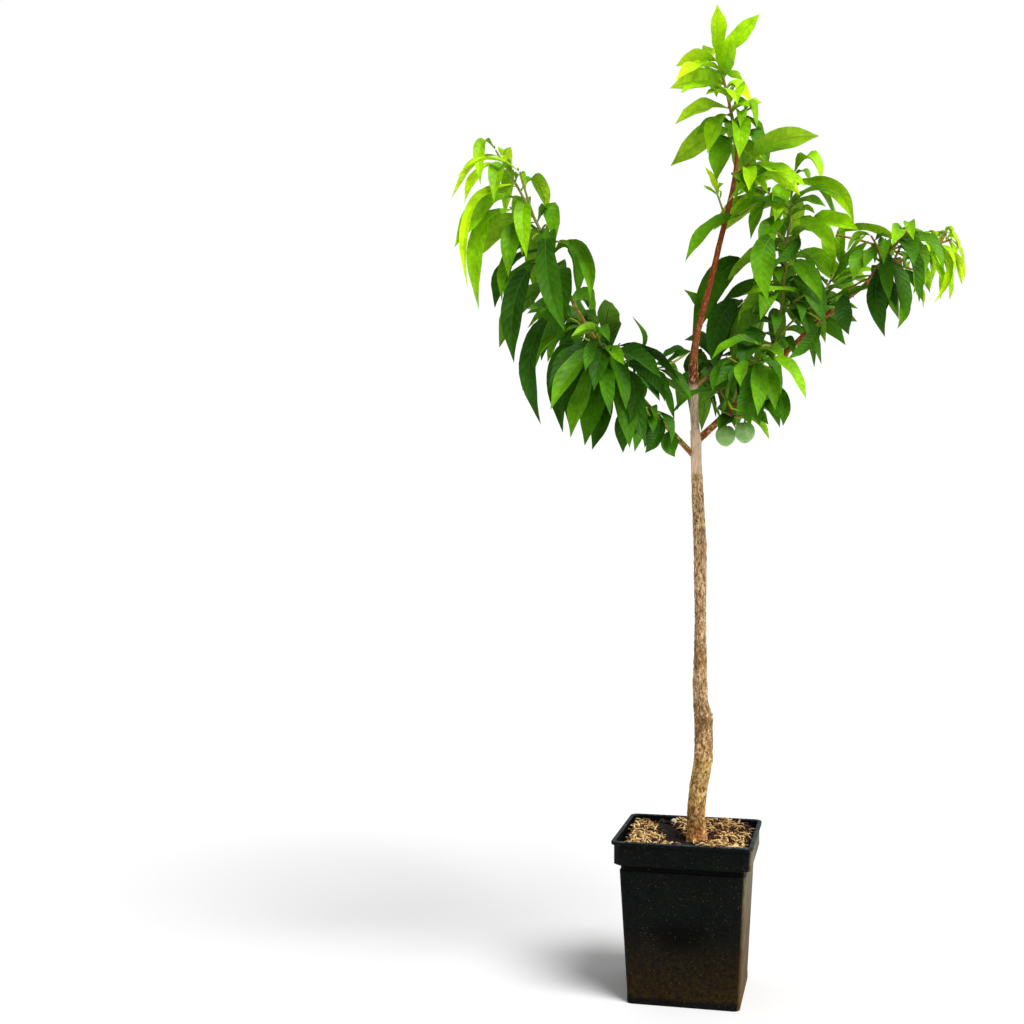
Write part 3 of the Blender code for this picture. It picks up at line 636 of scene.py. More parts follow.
def growTwig(rng, mass, stem, share, turn, own, others):
    spot, ahead = pathPlace(stem, share)
    flat = ahead.cross(Vector((0, 0, 1))).normalized()
    radial = Matrix.Rotation(turn, 3, ahead) @ flat
    leave = ahead * math.cos(stemRule["twigAngle"]) + radial * math.sin(stemRule["twigAngle"])
    heading = math.degrees(math.atan2(leave.y, leave.x))
    rise = math.degrees(math.asin(leave.z))
    length = mass["twigs"][1] * rng.uniform(*stemRule["twigLengthVaries"])
    headings = (heading, heading + rng.uniform(-stemRule["twigBend"], stemRule["twigBend"]))
    path = grownPath(spot, headings, (rise, rise / 2), length, stemRule["twigSteps"])
    radii = taper((stemRule["twigFootRadius"], stemRule["tipRadius"]), len(path))
    surface = tubeSkin(path, radii)
    clear = tubeSkin(path[1:], radii[1:])
    if not inside(mass["space"], path) or touches(clear, own) or touches(surface, others):
        return None
    own.append(clear)
    return path, radii


def stemOf(mass, lines):
    aim = direction(mass["heading"], mass["rises"][0])
    foot = stemFoot(lines[mass["limb"]], mass["at"], aim, mass["radius"])
    steps = max(2, round(mass["length"] / stemRule["step"]))
    bend = random.Random(mass["seed"]).uniform(-stemRule["bend"], stemRule["bend"])
    path = grownPath(foot, (mass["heading"], mass["heading"] + bend), mass["rises"], mass["length"], steps)
    return path, taper((mass["radius"], stemRule["tipRadius"]), len(path))


def planMass(mass, stem, others):
    rng = random.Random(mass["seed"])
    own = [tubeSkin(*stem)]
    fruit = []
    for share in mass.get("fruit", ()):
        top, _ = pathPlace(stem[0], share)
        centre = top - Vector((0, 0, stemRule["fruitStalk"] + stemRule["fruitRadius"]))
        fruit.append((top, centre))
        own.append(ballSkin(centre, stemRule["fruitRadius"] + leafRule["testMargin"]))
        for ahead in stemRule["fruitOpen"]:
            own.append(ballSkin(centre - Vector((0, ahead, 0)), stemRule["fruitRadius"] * 0.9))
    stems = [stem]
    counts = [(mass["leaves"], mass["first"])]
    phase = rng.uniform(0, 2 * math.pi)
    twigCount, _, twigLeaves = mass.get("twigs", (0, 0, 0))
    for index in range(twigCount):
        share = between(stemRule["twigShares"], index / max(twigCount - 1, 1))
        twig = growTwig(rng, mass, stem[0], share, phase + index * leafRule["turnPerLeaf"], own, others)
        if twig:
            stems.append(twig)
            counts.append((twigLeaves, stemRule["twigFirstLeaf"]))
    leaves = []
    for (path, _), (count, first) in zip(stems, counts):
        for index in range(count):
            share = between((first, 1.0), index / (count - 1))
            turn = phase + index * leafRule["turnPerLeaf"]
            leaf = growLeaf(rng, mass, path, share, turn, own, others)
            if leaf:
                leaf["age"] = share if path is stem[0] else 0.6 + 0.4 * share
                leaves.append(leaf)
    return {"stems": stems, "fruit": fruit, "leaves": leaves, "surfaces": own}


def addFinerGrowth(mass, plan, others):  # short side shoots and small leaves between the solids' leaves
    rng = random.Random(mass["seed"] + 1000)
    own = plan["surfaces"]
    twigCount, twigLength, twigLeaves, smallLeaves = mass["finer"]
    small = dict(mass, twigs=(twigCount, twigLength, twigLeaves))
    small["leaf"] = tuple(size * finerRule["twigLeafShare"] for size in mass["leaf"])
    phase = rng.uniform(0, 2 * math.pi)
    stem = plan["stems"][0]
    for index in range(twigCount):
        share = between((0.15, 0.95), (index + rng.random()) / twigCount)
        before = len(own)
        twig = growTwig(rng, small, stem[0], share, phase + index * leafRule["turnPerLeaf"], own, others)
        if not twig:
            continue
        grown = []
        for number in range(twigLeaves):
            leafShare = between((stemRule["twigFirstLeaf"], 1.0), number / max(twigLeaves - 1, 1))
            turn = phase + number * leafRule["turnPerLeaf"]
            leaf = growLeaf(rng, small, twig[0], leafShare, turn, own, others)
            if leaf:
                leaf["age"] = share
                grown.append(leaf)
        if len(grown) < 2:  # no bare twigs
            del own[before:]
            continue
        plan["stems"].append(twig)
        plan["leaves"] += grown
    small["leaf"] = tuple(size * finerRule["smallLeafShare"] for size in mass["leaf"])
    for index in range(smallLeaves):
        share = between((0.05, 1.0), (index + rng.random()) / smallLeaves)
        leaf = growLeaf(rng, small, stem[0], share, phase + index * leafRule["turnPerLeaf"], own, others)
        if leaf:
            leaf["age"] = share
            plan["leaves"].append(leaf)


singleLeaves = [  # mass, share of its stem, base, bend, tip, width, turn about the length, age, which here also paints light: some leaves take a higher value so they show lighter, as lit leaves
    ("foliage_upright", 0.525, (0.0765, 0.054, 0.8409), (0.0335, 0.05, 0.8472), (0.0094, 0.046, 0.742), 0.0366, 0, 0),
    ("foliage_fork", 0.5, (0.0331, -0.026, 0.6808), (0.0045, -0.03, 0.6894), (-0.024, -0.034, 0.6544), 0.0146, 55, 0.5),
    ("foliage_left_outer", 0.7, (-0.1998, -0.05, 0.9093), (-0.2705, -0.054, 0.9062), (-0.2505, -0.058, 0.7906), 0.0222, 15, 0.9),
    ("foliage_left_outer", 0.475, (-0.1931, -0.048, 0.9231), (-0.2308, -0.052, 0.9531), (-0.2627, -0.056, 0.9157), 0.0178, 55, 1.0),
    ("foliage_left_outer", 0.525, (-0.2009, -0.03, 0.8858), (-0.258, -0.034, 0.8816), (-0.2388, -0.038, 0.7713), 0.0258, 10, 0.5),
    ("foliage_left_outer", 0.35, (-0.1796, -0.03, 0.851), (-0.2154, -0.034, 0.8435), (-0.2132, -0.038, 0.7803), 0.0202, 30, 0.35),
    ("foliage_left_outer", 0.25, (-0.1953, -0.046, 0.8302), (-0.2441, -0.05, 0.7896), (-0.2285, -0.054, 0.7094), 0.0189, 60, 0.5),
    ("foliage_left_outer", 0.2, (-0.1765, -0.052, 0.8225), (-0.2108, -0.056, 0.7887), (-0.1998, -0.06, 0.7099), 0.0332, 5, 0.1),
    ("foliage_left_outer", 0.35, (-0.1634, -0.057, 0.8625), (-0.1712, -0.061, 0.8066), (-0.1438, -0.065, 0.7434), 0.0309, 0, 0.1),
    ("foliage_left_outer", 0.25, (-0.1481, -0.03, 0.8488), (-0.108, -0.034, 0.8525), (-0.1149, -0.038, 0.7803), 0.0236, 15, 0.35),
    ("foliage_left_mid", 0.325, (-0.122, -0.045, 0.7392), (-0.1643, -0.049, 0.7232), (-0.1456, -0.053, 0.6332), 0.03, 0, 0),
    ("foliage_left_outer", 0.05, (-0.1528, -0.035, 0.7718), (-0.202, -0.039, 0.7333), (-0.1697, -0.043, 0.6426), 0.0246, 20, 0.05),
    ("foliage_left_mid", 0.775, (-0.106, -0.075, 0.7007), (-0.1367, -0.079, 0.6938), (-0.138, -0.083, 0.6315), 0.0262, 10, 0),
    ("foliage_left_mid", 0.4, (-0.0966, -0.065, 0.6973), (-0.1013, -0.069, 0.6553), (-0.1146, -0.073, 0.6135), 0.0274, 0, 0),
    ("foliage_left_inner", 0.05, (-0.0812, -0.02, 0.714), (-0.0353, -0.024, 0.7282), (-0.0672, -0.028, 0.766), 0.0158, 60, 0.3),
    ("foliage_left_inner", 0.275, (-0.0849, -0.04, 0.7309), (-0.044, -0.044, 0.7438), (-0.0156, -0.048, 0.69), 0.0178, 55, 0.05),
    ("foliage_left_inner", 0.425, (-0.084, -0.072, 0.7065), (-0.045, -0.076, 0.7159), (-0.0356, -0.08, 0.6654), 0.0197, 15, 0),
    ("foliage_left_mid", 0.325, (-0.0497, -0.057, 0.6517), (-0.082, -0.061, 0.6603), (-0.0801, -0.065, 0.6106), 0.0287, 0, 0.05),
    ("foliage_left_low", 0.65, (-0.0373, -0.043, 0.6549), (-0.0355, -0.047, 0.628), (-0.0547, -0.051, 0.6111), 0.0245, 20, 0.1),
    ("foliage_left_low", 0.25, (-0.0202, -0.03, 0.6389), (-0.0319, -0.034, 0.6219), (-0.02, -0.038, 0.6072), 0.0236, 0, 0),
    ("foliage_leader_high", 0.15, (0.0465, -0.012, 0.9293), (0.0696, -0.016, 0.9215), (0.0667, -0.02, 0.8947), 0.0193, 0, 0.1),
    ("foliage_upright", 0.95, (0.1174, -0.032, 0.919), (0.0842, -0.036, 0.9438), (0.0389, -0.04, 0.8915), 0.0191, 50, 0.9),
    ("foliage_upright", 0.775, (0.1172, -0.016, 0.891), (0.0769, -0.02, 0.9105), (0.0413, -0.024, 0.8735), 0.0192, 45, 0.8),
    ("foliage_upright", 0.95, (0.0564, -0.014, 0.8812), (0.0196, -0.018, 0.8804), (-0.0069, -0.022, 0.8277), 0.0204, 35, 0.85),
    ("foliage_upright", 0.9, (0.1191, -0.012, 0.9179), (0.1715, -0.016, 0.9329), (0.1841, -0.02, 0.871), 0.0204, 20, 0.85),
    ("foliage_upright", 0.675, (0.1095, -0.044, 0.8684), (0.142, -0.048, 0.8754), (0.1566, -0.052, 0.8314), 0.0178, 20, 0.85),
    ("foliage_upright", 0.6, (0.0931, -0.042, 0.8565), (0.0646, -0.046, 0.8413), (0.0817, -0.05, 0.7785), 0.029, 0, 0.5),
    ("foliage_right_front", 0.45, (0.2061, -0.066, 0.8146), (0.1854, -0.07, 0.7866), (0.2052, -0.074, 0.7368), 0.0252, 0, -0.1),
    ("foliage_right_front", 0.05, (0.1694, -0.054, 0.7912), (0.1564, -0.058, 0.7663), (0.1687, -0.062, 0.7405), 0.0199, 0, -0.1),
    ("foliage_right_outer", 0.675, (0.2692, -0.038, 0.8428), (0.3081, -0.042, 0.8242), (0.2657, -0.046, 0.7769), 0.0167, 35, 0.9),
    ("foliage_right_outer", 0.475, (0.2391, -0.042, 0.8309), (0.2602, -0.046, 0.8191), (0.2424, -0.05, 0.7874), 0.0167, 15, 0.3),
    ("foliage_right_outer", 0.075, (0.2255, -0.03, 0.8016), (0.2513, -0.034, 0.7831), (0.2279, -0.038, 0.7501), 0.0168, 25, 0.4),
    ("foliage_upright", 0.3, (0.1404, -0.045, 0.7592), (0.1351, -0.049, 0.7299), (0.1022, -0.053, 0.715), 0.0178, 20, 0.2),
    ("foliage_right_low", 0.575, (0.0706, -0.076, 0.6864), (0.059, -0.08, 0.6654), (0.067, -0.084, 0.6391), 0.0185, 0, 0.3),
    ("foliage_right_low", 0.45, (0.0835, -0.04, 0.6897), (0.105, -0.044, 0.6748), (0.0987, -0.048, 0.6412), 0.019, 15, 0.25),
    ("foliage_upright", 0.05, (0.0759, -0.045, 0.7303), (0.0464, -0.049, 0.7454), (0.0181, -0.053, 0.7139), 0.0178, 45, 0.5),
    ("foliage_left_inner", 0.975, (-0.0023, -0.012, 0.7273), (-0.0187, -0.016, 0.7348), (-0.0338, -0.02, 0.7163), 0.0136, 45, 0),
    ("foliage_left_mid", 0.7, (-0.0851, -0.102, 0.7002), (-0.0598, -0.106, 0.6827), (-0.0772, -0.11, 0.6397), 0.0236, 10, 0.05),
    ("foliage_right_low", 0.85, (0.0575, -0.102, 0.683), (0.0429, -0.106, 0.6677), (0.0529, -0.11, 0.6375), 0.0236, 10, 0.3),
    ("foliage_upright", 0.45, (0.0664, 0.02, 0.7899), (0.0253, 0.016, 0.7847), (0.0317, 0.012, 0.7058), 0.0324, 0, 0.1),
    ("foliage_upright", 0.575, (0.1236, -0.012, 0.8612), (0.1217, -0.016, 0.8378), (0.0915, -0.02, 0.8258), 0.017, 10, 0),
    ("foliage_upright", 0.4, (0.1081, -0.028, 0.8267), (0.132, -0.032, 0.826), (0.1446, -0.036, 0.7806), 0.0225, 10, 0.3),
    ("foliage_right_outer", 0.425, (0.1656, -0.012, 0.8601), (0.2009, -0.016, 0.8853), (0.2383, -0.02, 0.8472), 0.017, 45, 0.8),
    ("foliage_upright", 0.125, (0.1446, -0.02, 0.784), (0.1043, -0.024, 0.806), (0.0541, -0.028, 0.7885), 0.0124, 50, 0.7),
]


def addSingleLeaf(plan, share, base, knee, tip, width, turn, age, others):  # a leaf on a side shoot of its own
    base, knee, tip = Vector(base), Vector(knee), Vector(tip)
    sides = []
    for ahead in ((knee - base).normalized(), (tip - knee).normalized()):
        sides.append(Matrix.Rotation(math.radians(turn), 3, ahead) @ Vector((0, -1, 0)).cross(ahead).normalized())
    length = (tip - base).length / 2 + (knee - base).length / 4 + (tip - knee).length / 4
    leaf = {"base": base, "knee": knee, "tip": tip, "side": sides[0], "tipSide": sides[1], "width": width, "kneeShare": 0.5, "length": length, "age": age}
    blade, _ = testBlade(leaf, leafRule["root"])
    foot, along = pathPlace(plan["stems"][0][0], share)
    halfway = (foot + base) / 2 + along * 0.004
    path = [foot, foot.lerp(halfway, 0.6) + along * 0.002, halfway, halfway.lerp(base, 0.5) + along * 0.001, base]
    radii = taper((stemRule["twigFootRadius"], stemRule["tipRadius"]), len(path))
    shoot = tubeSkin(path[1:], radii[1:])
    if touches(blade, others) or touches(shoot, others):
        print("a single leaf has no room")
        return
    plan["stems"].append((path, radii))
    plan["leaves"].append(leaf)
    plan["surfaces"] += [blade, shoot]


def planCrown(lines):
    limbs = [tubeSkin(*line) for line in lines.values()]
    stems = {name: stemOf(mass, lines) for name, mass in crownMasses.items()}
    stemSkins = {name: tubeSkin(*stem) for name, stem in stems.items()}
    plans = {}
    for name, mass in crownMasses.items():
        others = limbs + [skin for other, skin in stemSkins.items() if other != name]
        for plan in plans.values():
            others += plan["surfaces"]
        plans[name] = planMass(mass, stems[name], others)
    print("leaves by the solids' rule", sum(len(plan["leaves"]) for plan in plans.values()))
    for name, mass in crownMasses.items():
        others = limbs[:]
        for other, plan in plans.items():
            if other != name:
                others += plan["surfaces"]
        addFinerGrowth(mass, plans[name], others)
    for name, *single in singleLeaves:
        others = limbs[:]
        for plan in plans.values():
            others += plan["surfaces"]
        addSingleLeaf(plans[name], *single, others)
    print("leaves with finer growth", sum(len(plan["leaves"]) for plan in plans.values()))
    return plans


# Leaves, in six colours from the darkest to the lightest green: older leaves take the darker and younger the lighter,
# and as painted light and shade, leaves where the crown stands lit take the lighter greens and shaded ones the darker

leafSizes = {
    "thickness": 0.0007,
    "ribShare": 0.045,  # half width of the midrib, as a share of the leaf's
    "ribRise": 0.0004,  # how far the midrib stands out below
    "stalkHalfWidth": 0.0009,
    "foldAngle": math.radians(22),  # each leaf takes 0.6 to 1.8 of this
    "belly": 0.94,  # below 1 the widest place lies nearer the stem
    "fullness": 0.70,  # a smaller power gives a fuller blade
    "broader": 1.0,
    "dripFrom": 0.76,  # share of the blade where it narrows to its long tip
    "dripNarrows": 0.6,
    "waves": 2.0,  # ripples along a margin
    "rippleHeight": 0.20,  # as a share of the half width
    "veins": 11.0,
}

leafColours = {  # upper side, underside, midrib
    "dark": ((30, 72, 2), (66, 110, 24), (52, 96, 12)),
    "deep": ((48, 98, 2), (80, 130, 28), (70, 120, 14)),
    "mid": ((74, 130, 0), (100, 152, 28), (98, 152, 14)),
    "bright": ((106, 164, 0), (124, 174, 26), (128, 180, 18)),
    "fresh": ((132, 190, 0), (148, 200, 26), (150, 202, 24)),
    "lime": ((160, 212, 4), (172, 216, 28), (178, 220, 36)),
}


def leafTree():
    sizes = dict(leafSizes, upper=None, under=None, rib=None)
    tree, start = startTree("leafRule", sizes)
    grid = put(tree, "GeometryNodeMeshGrid", {"Size X": 3.0, "Size Y": 1.0, "Vertices X": 4, "Vertices Y": 13})
    spot = put(tree, "ShaderNodeSeparateXYZ", {0: put(tree, "GeometryNodeInputPosition").outputs[0]}).outputs
    share = maths(tree, "POWER", maths(tree, "MAXIMUM", maths(tree, "ADD", spot[1], 0.5), 0.0), 0.8)
    outer = maths(tree, "GREATER_THAN", maths(tree, "ABSOLUTE", spot[0]), 1.0)
    reach = maths(tree, "ADD", start["ribShare"], maths(tree, "MULTIPLY", outer, maths(tree, "SUBTRACT", 1.0, start["ribShare"])))
    sideways = maths(tree, "MULTIPLY", maths(tree, "SIGN", spot[0]), reach)
    middle = maths(tree, "LESS_THAN", maths(tree, "ABSOLUTE", spot[0]), 0.5)
    sheet = stored(tree, grid.outputs["Mesh"], "along", share)
    sheet = stored(tree, sheet, "across", sideways)
    sheet = stored(tree, sheet, "rib", middle, domain="FACE")
    top = stored(tree, sheet, "under", 0.0, domain="FACE")
    top = stored(tree, top, "layer", 1.0)
    below = put(tree, "GeometryNodeFlipFaces", {"Mesh": sheet}).outputs["Mesh"]
    below = stored(tree, below, "under", 1.0, domain="FACE")
    below = stored(tree, below, "layer", -1.0)
    shell = put(tree, "GeometryNodeJoinGeometry")
    tree.links.new(below, shell.inputs[0])
    tree.links.new(top, shell.inputs[0])
    leaves = put(tree, "GeometryNodeInstanceOnPoints", {"Points": start["Geometry"], "Instance": shell.outputs[0]})
    leaves = put(tree, "GeometryNodeRealizeInstances", {"Geometry": leaves.outputs[0]}).outputs[0]

    along, across = attribute(tree, "along"), attribute(tree, "across")
    rest = maths(tree, "SUBTRACT", 1.0, along)
    base, knee, tip = (attribute(tree, name, "FLOAT_VECTOR") for name in ("base", "knee", "tip"))
    centre = vectors(
        tree, "ADD",
        vectors(
            tree, "ADD",
            scaled(tree, base, maths(tree, "MULTIPLY", rest, rest)),
            scaled(tree, knee, maths(tree, "MULTIPLY", maths(tree, "MULTIPLY", along, rest), 2.0)),
        ),
        scaled(tree, tip, maths(tree, "MULTIPLY", along, along)),
    )
    ahead = vectors(
        tree, "NORMALIZE",
        vectors(
            tree, "ADD",
            scaled(tree, vectors(tree, "SUBTRACT", knee, base), rest),
            scaled(tree, vectors(tree, "SUBTRACT", tip, knee), along),
        ),
    )
    leaning = vectors(
        tree, "ADD",
        scaled(tree, attribute(tree, "side", "FLOAT_VECTOR"), rest),
        scaled(tree, attribute(tree, "tipSide", "FLOAT_VECTOR"), along),
    )
    stray = scaled(tree, ahead, vectors(tree, "DOT_PRODUCT", leaning, ahead))
    side = vectors(tree, "NORMALIZE", vectors(tree, "SUBTRACT", leaning, stray))
    upward = vectors(tree, "CROSS_PRODUCT", ahead, side)

    kneeShare = attribute(tree, "kneeShare")
    early = maths(tree, "MULTIPLY", kneeShare, 2.0)
    reach = maths(tree, "ADD", early, maths(tree, "MULTIPLY", maths(tree, "SUBTRACT", 1.0, early), along))
    reach = maths(tree, "MULTIPLY", reach, along)
    bladeShare = maths(tree, "DIVIDE", maths(tree, "SUBTRACT", reach, leafRule["stalk"]), 1 - leafRule["stalk"])
    bladeShare = maths(tree, "MINIMUM", maths(tree, "MAXIMUM", bladeShare, 0.0), 1.0)
    swell = maths(tree, "SINE", maths(tree, "MULTIPLY", maths(tree, "POWER", bladeShare, start["belly"]), math.pi))
    swell = maths(tree, "POWER", maths(tree, "MAXIMUM", swell, 0.0), start["fullness"])
    drip = put(tree, "ShaderNodeMapRange", {0: bladeShare, 1: start["dripFrom"], 2: 1.0}).outputs[0]
    swell = maths(tree, "MULTIPLY", swell, maths(tree, "SUBTRACT", 1.0, maths(tree, "MULTIPLY", drip, start["dripNarrows"])))
    ends = maths(
        tree, "MULTIPLY", maths(tree, "GREATER_THAN", along, 0.001), maths(tree, "LESS_THAN", along, 0.999)
    )
    half = maths(tree, "MULTIPLY", maths(tree, "MULTIPLY", attribute(tree, "leafWidth"), 0.5), start["broader"])
    half = maths(tree, "MULTIPLY", half, swell)
    half = maths(tree, "MULTIPLY", maths(tree, "MAXIMUM", half, start["stalkHalfWidth"]), ends)
    edge = maths(tree, "MULTIPLY", half, maths(tree, "ABSOLUTE", across))
    fold = maths(tree, "MULTIPLY", start["foldAngle"], attribute(tree, "foldShare"))
    lift = maths(tree, "MULTIPLY", edge, maths(tree, "SINE", fold))
    wave = maths(tree, "MULTIPLY", maths(tree, "MULTIPLY", along, start["waves"]), 2 * math.pi)
    wave = maths(tree, "ADD", wave, maths(tree, "MULTIPLY", across, attribute(tree, "ripplePhase")))
    wave = maths(tree, "MULTIPLY", maths(tree, "SINE", wave), maths(tree, "MULTIPLY", edge, start["rippleHeight"]))
    wave = maths(tree, "MULTIPLY", wave, swell)
    inner = maths(tree, "LESS_THAN", maths(tree, "ABSOLUTE", across), 0.5)
    layer = attribute(tree, "layer")
    thick = maths(tree, "MULTIPLY", maths(tree, "MULTIPLY", start["thickness"], 0.5), layer)
    ribRise = maths(tree, "MULTIPLY", start["ribRise"], maths(tree, "LESS_THAN", layer, 0.0))
    thick = maths(tree, "MULTIPLY", maths(tree, "SUBTRACT", thick, ribRise), maths(tree, "MULTIPLY", inner, ends))
    height = maths(tree, "ADD", maths(tree, "ADD", lift, wave), thick)
    spread = maths(tree, "MULTIPLY", maths(tree, "MULTIPLY", half, across), maths(tree, "COSINE", fold))
    final = vectors(tree, "ADD", centre, vectors(tree, "ADD", scaled(tree, side, spread), scaled(tree, upward, height)))
    leaves = put(tree, "GeometryNodeSetPosition", {"Geometry": leaves, "Position": final}).outputs[0]
    leaves = put(tree, "GeometryNodeMergeByDistance", {"Geometry": leaves, "Distance": 1e-5}).outputs[0]
    bend = put(tree, "GeometryNodeInputMeshEdgeAngle").outputs["Unsigned Angle"]
    leaves = stored(tree, leaves, "sharp_edge", maths(tree, "GREATER_THAN", bend, 1.5), "BOOLEAN", "EDGE")
    leaves = put(tree, "GeometryNodeSetShadeSmooth", {"Geometry": leaves, "Shade Smooth": True}).outputs[0]
    stalk = maths(tree, "LESS_THAN", along, 0.10)
    ribs = maths(tree, "GREATER_THAN", maths(tree, "ADD", attribute(tree, "rib"), stalk), 0.5)
    backs = maths(tree, "GREATER_THAN", attribute(tree, "under"), 0.5)
    endTree(tree, leaves, (start["upper"], None), (start["under"], backs), (start["rib"], ribs))
    return tree


def veined(tree, shader, rgb, contrast):  # side veins that run out and forward from the midrib
    along = put(tree, "ShaderNodeAttribute", attribute_name="along").outputs["Fac"]
    across = put(tree, "ShaderNodeAttribute", attribute_name="across").outputs["Fac"]
    away, colour = maths(tree, "ABSOLUTE", across), tint(*rgb)
    course = maths(tree, "SUBTRACT", maths(tree, "MULTIPLY", along, leafSizes["veins"]), maths(tree, "MULTIPLY", away, 1.5))
    saw = maths(tree, "ABSOLUTE", maths(tree, "SUBTRACT", maths(tree, "FRACT", course), 0.5))
    line = maths(tree, "MINIMUM", maths(tree, "MULTIPLY", saw, 9.0), 1.0)
    mottle = noise(tree, place(tree), 38.0)
    # painted light and shade: broad blotches that lighten and darken the blade
    shade = ramp(tree, mottle, (0.3, grey(0.70)), (0.5, grey(1.0)), (0.7, grey(1.22)))
    ageing = put(tree, "ShaderNodeMapRange", {0: along, 1: 0.35, 2: 1.0, 3: 0.0, 4: 0.75}).outputs[0]
    body = blend(tree, ageing, colour, tint(*(min(part * scale + 8, 255) for part, scale in zip(rgb, (1.24, 1.12, 1.0)))))
    # painted shade and light: darker towards the stalk, lighter towards the tip
    body = blend(tree, 1.0, body, ramp(tree, along, (0.06, grey(0.60)), (0.4, grey(1.02)), (0.9, grey(1.28))), "MULTIPLY")
    # painted light and shade in small flecks over the blade
    fine = ramp(tree, noise(tree, place(tree), 190.0, 3.0), (0.36, grey(0.88)), (0.5, grey(1.0)), (0.64, grey(1.14)))
    body = blend(tree, 1.0, blend(tree, 1.0, body, fine, "MULTIPLY"), shade, "MULTIPLY")
    paler = blend(tree, maths(tree, "MULTIPLY", maths(tree, "SUBTRACT", 1.0, line), contrast), body, tint(180, 210, 90))
    tree.links.new(paler, shader.inputs["Base Color"])
    quilt = maths(tree, "SQRT", maths(tree, "MULTIPLY", saw, 2.0))
    relief(tree, shader, maths(tree, "ADD", quilt, maths(tree, "MULTIPLY", mottle, 2.0)), 0.0008, 0.45)


def leafMaterials(name, colours):
    made = []
    for layer, colour, roughness in zip(("Upper", "Under", "Rib"), colours, (0.42, 0.65, 0.5)):
        material, tree, shader = startMaterial(name + layer, tint(*colour), roughness)
        shader.inputs["Specular IOR Level"].default_value = 0.10 if layer == "Upper" else 0.04
        if layer == "Rib":
            mottle = ramp(tree, noise(tree, place(tree), 90.0), (0.3, grey(0.82)), (0.7, grey(1.1)))
            tree.links.new(blend(tree, 1.0, tint(*colour), mottle, "MULTIPLY"), shader.inputs["Base Color"])
        else:
            veined(tree, shader, colour, 0.05 if layer == "Upper" else 0.14)
        made.append(material)
    return made


def leafPoints(name, leaves, rng):  # one vertex for each leaf, carrying what the tree needs to bend it
    mesh = bpy.data.meshes.new(name)
    mesh.from_pydata([leaf["base"] for leaf in leaves], [], [])
    for key, source in (("base", "base"), ("knee", "knee"), ("tip", "tip"), ("side", "side"), ("tipSide", "tipSide")):
        data = mesh.attributes.new(key, "FLOAT_VECTOR", "POINT").data
        for item, leaf in zip(data, leaves):
            item.vector = leaf[source]
    for key, values in (
        ("leafWidth", [leaf["width"] for leaf in leaves]),
        ("kneeShare", [leaf["kneeShare"] for leaf in leaves]),
        ("foldShare", [rng.uniform(0.6, 1.8) for _ in leaves]),
        ("ripplePhase", [rng.uniform(0.4, 2.8) for _ in leaves]),
    ):
        data = mesh.attributes.new(key, "FLOAT", "POINT").data
        for item, value in zip(data, values):
            item.value = value
    return mesh


narrowTips = {"foliage_left_outer": 0.36, "foliage_right_outer": 0.28}  # how much narrower the youngest leaves are


def makeLeaves(plans):
    rng = random.Random(41)
    names = list(leafColours)
    groups = {name: [] for name in names}
    for massName, plan in plans.items():
        foot, tipTint = crownMasses[massName]["tint"]
        for leaf in plan["leaves"]:
            # the green each leaf takes: its age, plus painted light and shade from its mass's tint
            youthAndLight = foot + (tipTint - foot) * leaf["age"] + rng.uniform(-0.14, 0.14)
            leaf["width"] *= 1 - narrowTips.get(massName, 0.0) * leaf["age"]
            groups[names[min(max(int(youthAndLight * len(names)), 0), len(names) - 1)]].append(leaf)
    tree = leafTree()
    for name, leaves in groups.items():
        upper, under, rib = leafMaterials(name + "Leaf", leafColours[name])
        sizes = dict(leafSizes, upper=upper, under=under, rib=rib)
        piece = runTree(name + "Leaves", leafPoints(name, leaves, rng), tree, sizes)
        dropAttributes(piece, "base", "knee", "tip", "side", "tipSide", "leafWidth", "kneeShare", "foldShare", "ripplePhase", "layer")
        finishPiece(piece, tuple(crownMasses))


# Twigs and leaf buds, green where young and red-brown where the wood shows

twigSizes = {"ringStep": 0.004, "sides": 8, "unevenness": 0.16}

twigColours = {"green": ((132, 160, 30), (150, 128, 44)), "ruddy": ((144, 86, 34), (150, 124, 48))}

ruddyTwigs = {"foliage_crown_top", "foliage_right_outer", "foliage_right_front", "foliage_fork", "foliage_leader_high", "foliage_back"}


def twigTree():
    tree, start = startTree("twigRule", dict(twigSizes, bark=None))
    line = put(tree, "GeometryNodeMeshToCurve", {"Mesh": start["Geometry"]}).outputs["Curve"]
    line = put(tree, "GeometryNodeCurveSplineType", {"Curve": line}, spline_type="CATMULL_ROM").outputs["Curve"]
    line = put(tree, "GeometryNodeResampleCurve", {"Curve": line, "Length": start["ringStep"]}, mode="LENGTH").outputs["Curve"]
    ring = put(tree, "GeometryNodeCurvePrimitiveCircle", {"Resolution": start["sides"], "Radius": 1.0}).outputs["Curve"]
    spot = put(tree, "GeometryNodeInputPosition").outputs[0]
    knobs = maths(tree, "SUBTRACT", noise(tree, spot, 160.0, 1.0), 0.4)
    girth = maths(tree, "MULTIPLY", attribute(tree, "girth"), maths(tree, "ADD", 1.0, maths(tree, "MULTIPLY", knobs, start["unevenness"])))
    values = {"Curve": line, "Profile Curve": ring, "Scale": girth, "Fill Caps": True}
    skin = put(tree, "GeometryNodeCurveToMesh", values).outputs["Mesh"]
    skin = put(tree, "GeometryNodeSetShadeSmooth", {"Geometry": skin, "Shade Smooth": True}).outputs[0]
    endTree(tree, skin, (start["bark"], None))
    return tree


def polylines(name, lines):  # paths as loose edges, with the girth at every point
    corners, edges, girths = [], [], []
    for path, radii in lines:
        first = len(corners)
        corners += [tuple(spot) for spot in path]
        edges += [(first + index, first + index + 1) for index in range(len(path) - 1)]
        girths += list(radii)
    mesh = bpy.data.meshes.new(name)
    mesh.from_pydata(corners, edges, [])
    data = mesh.attributes.new("girth", "FLOAT", "POINT").data
    for item, value in zip(data, girths):
        item.value = value
    return mesh


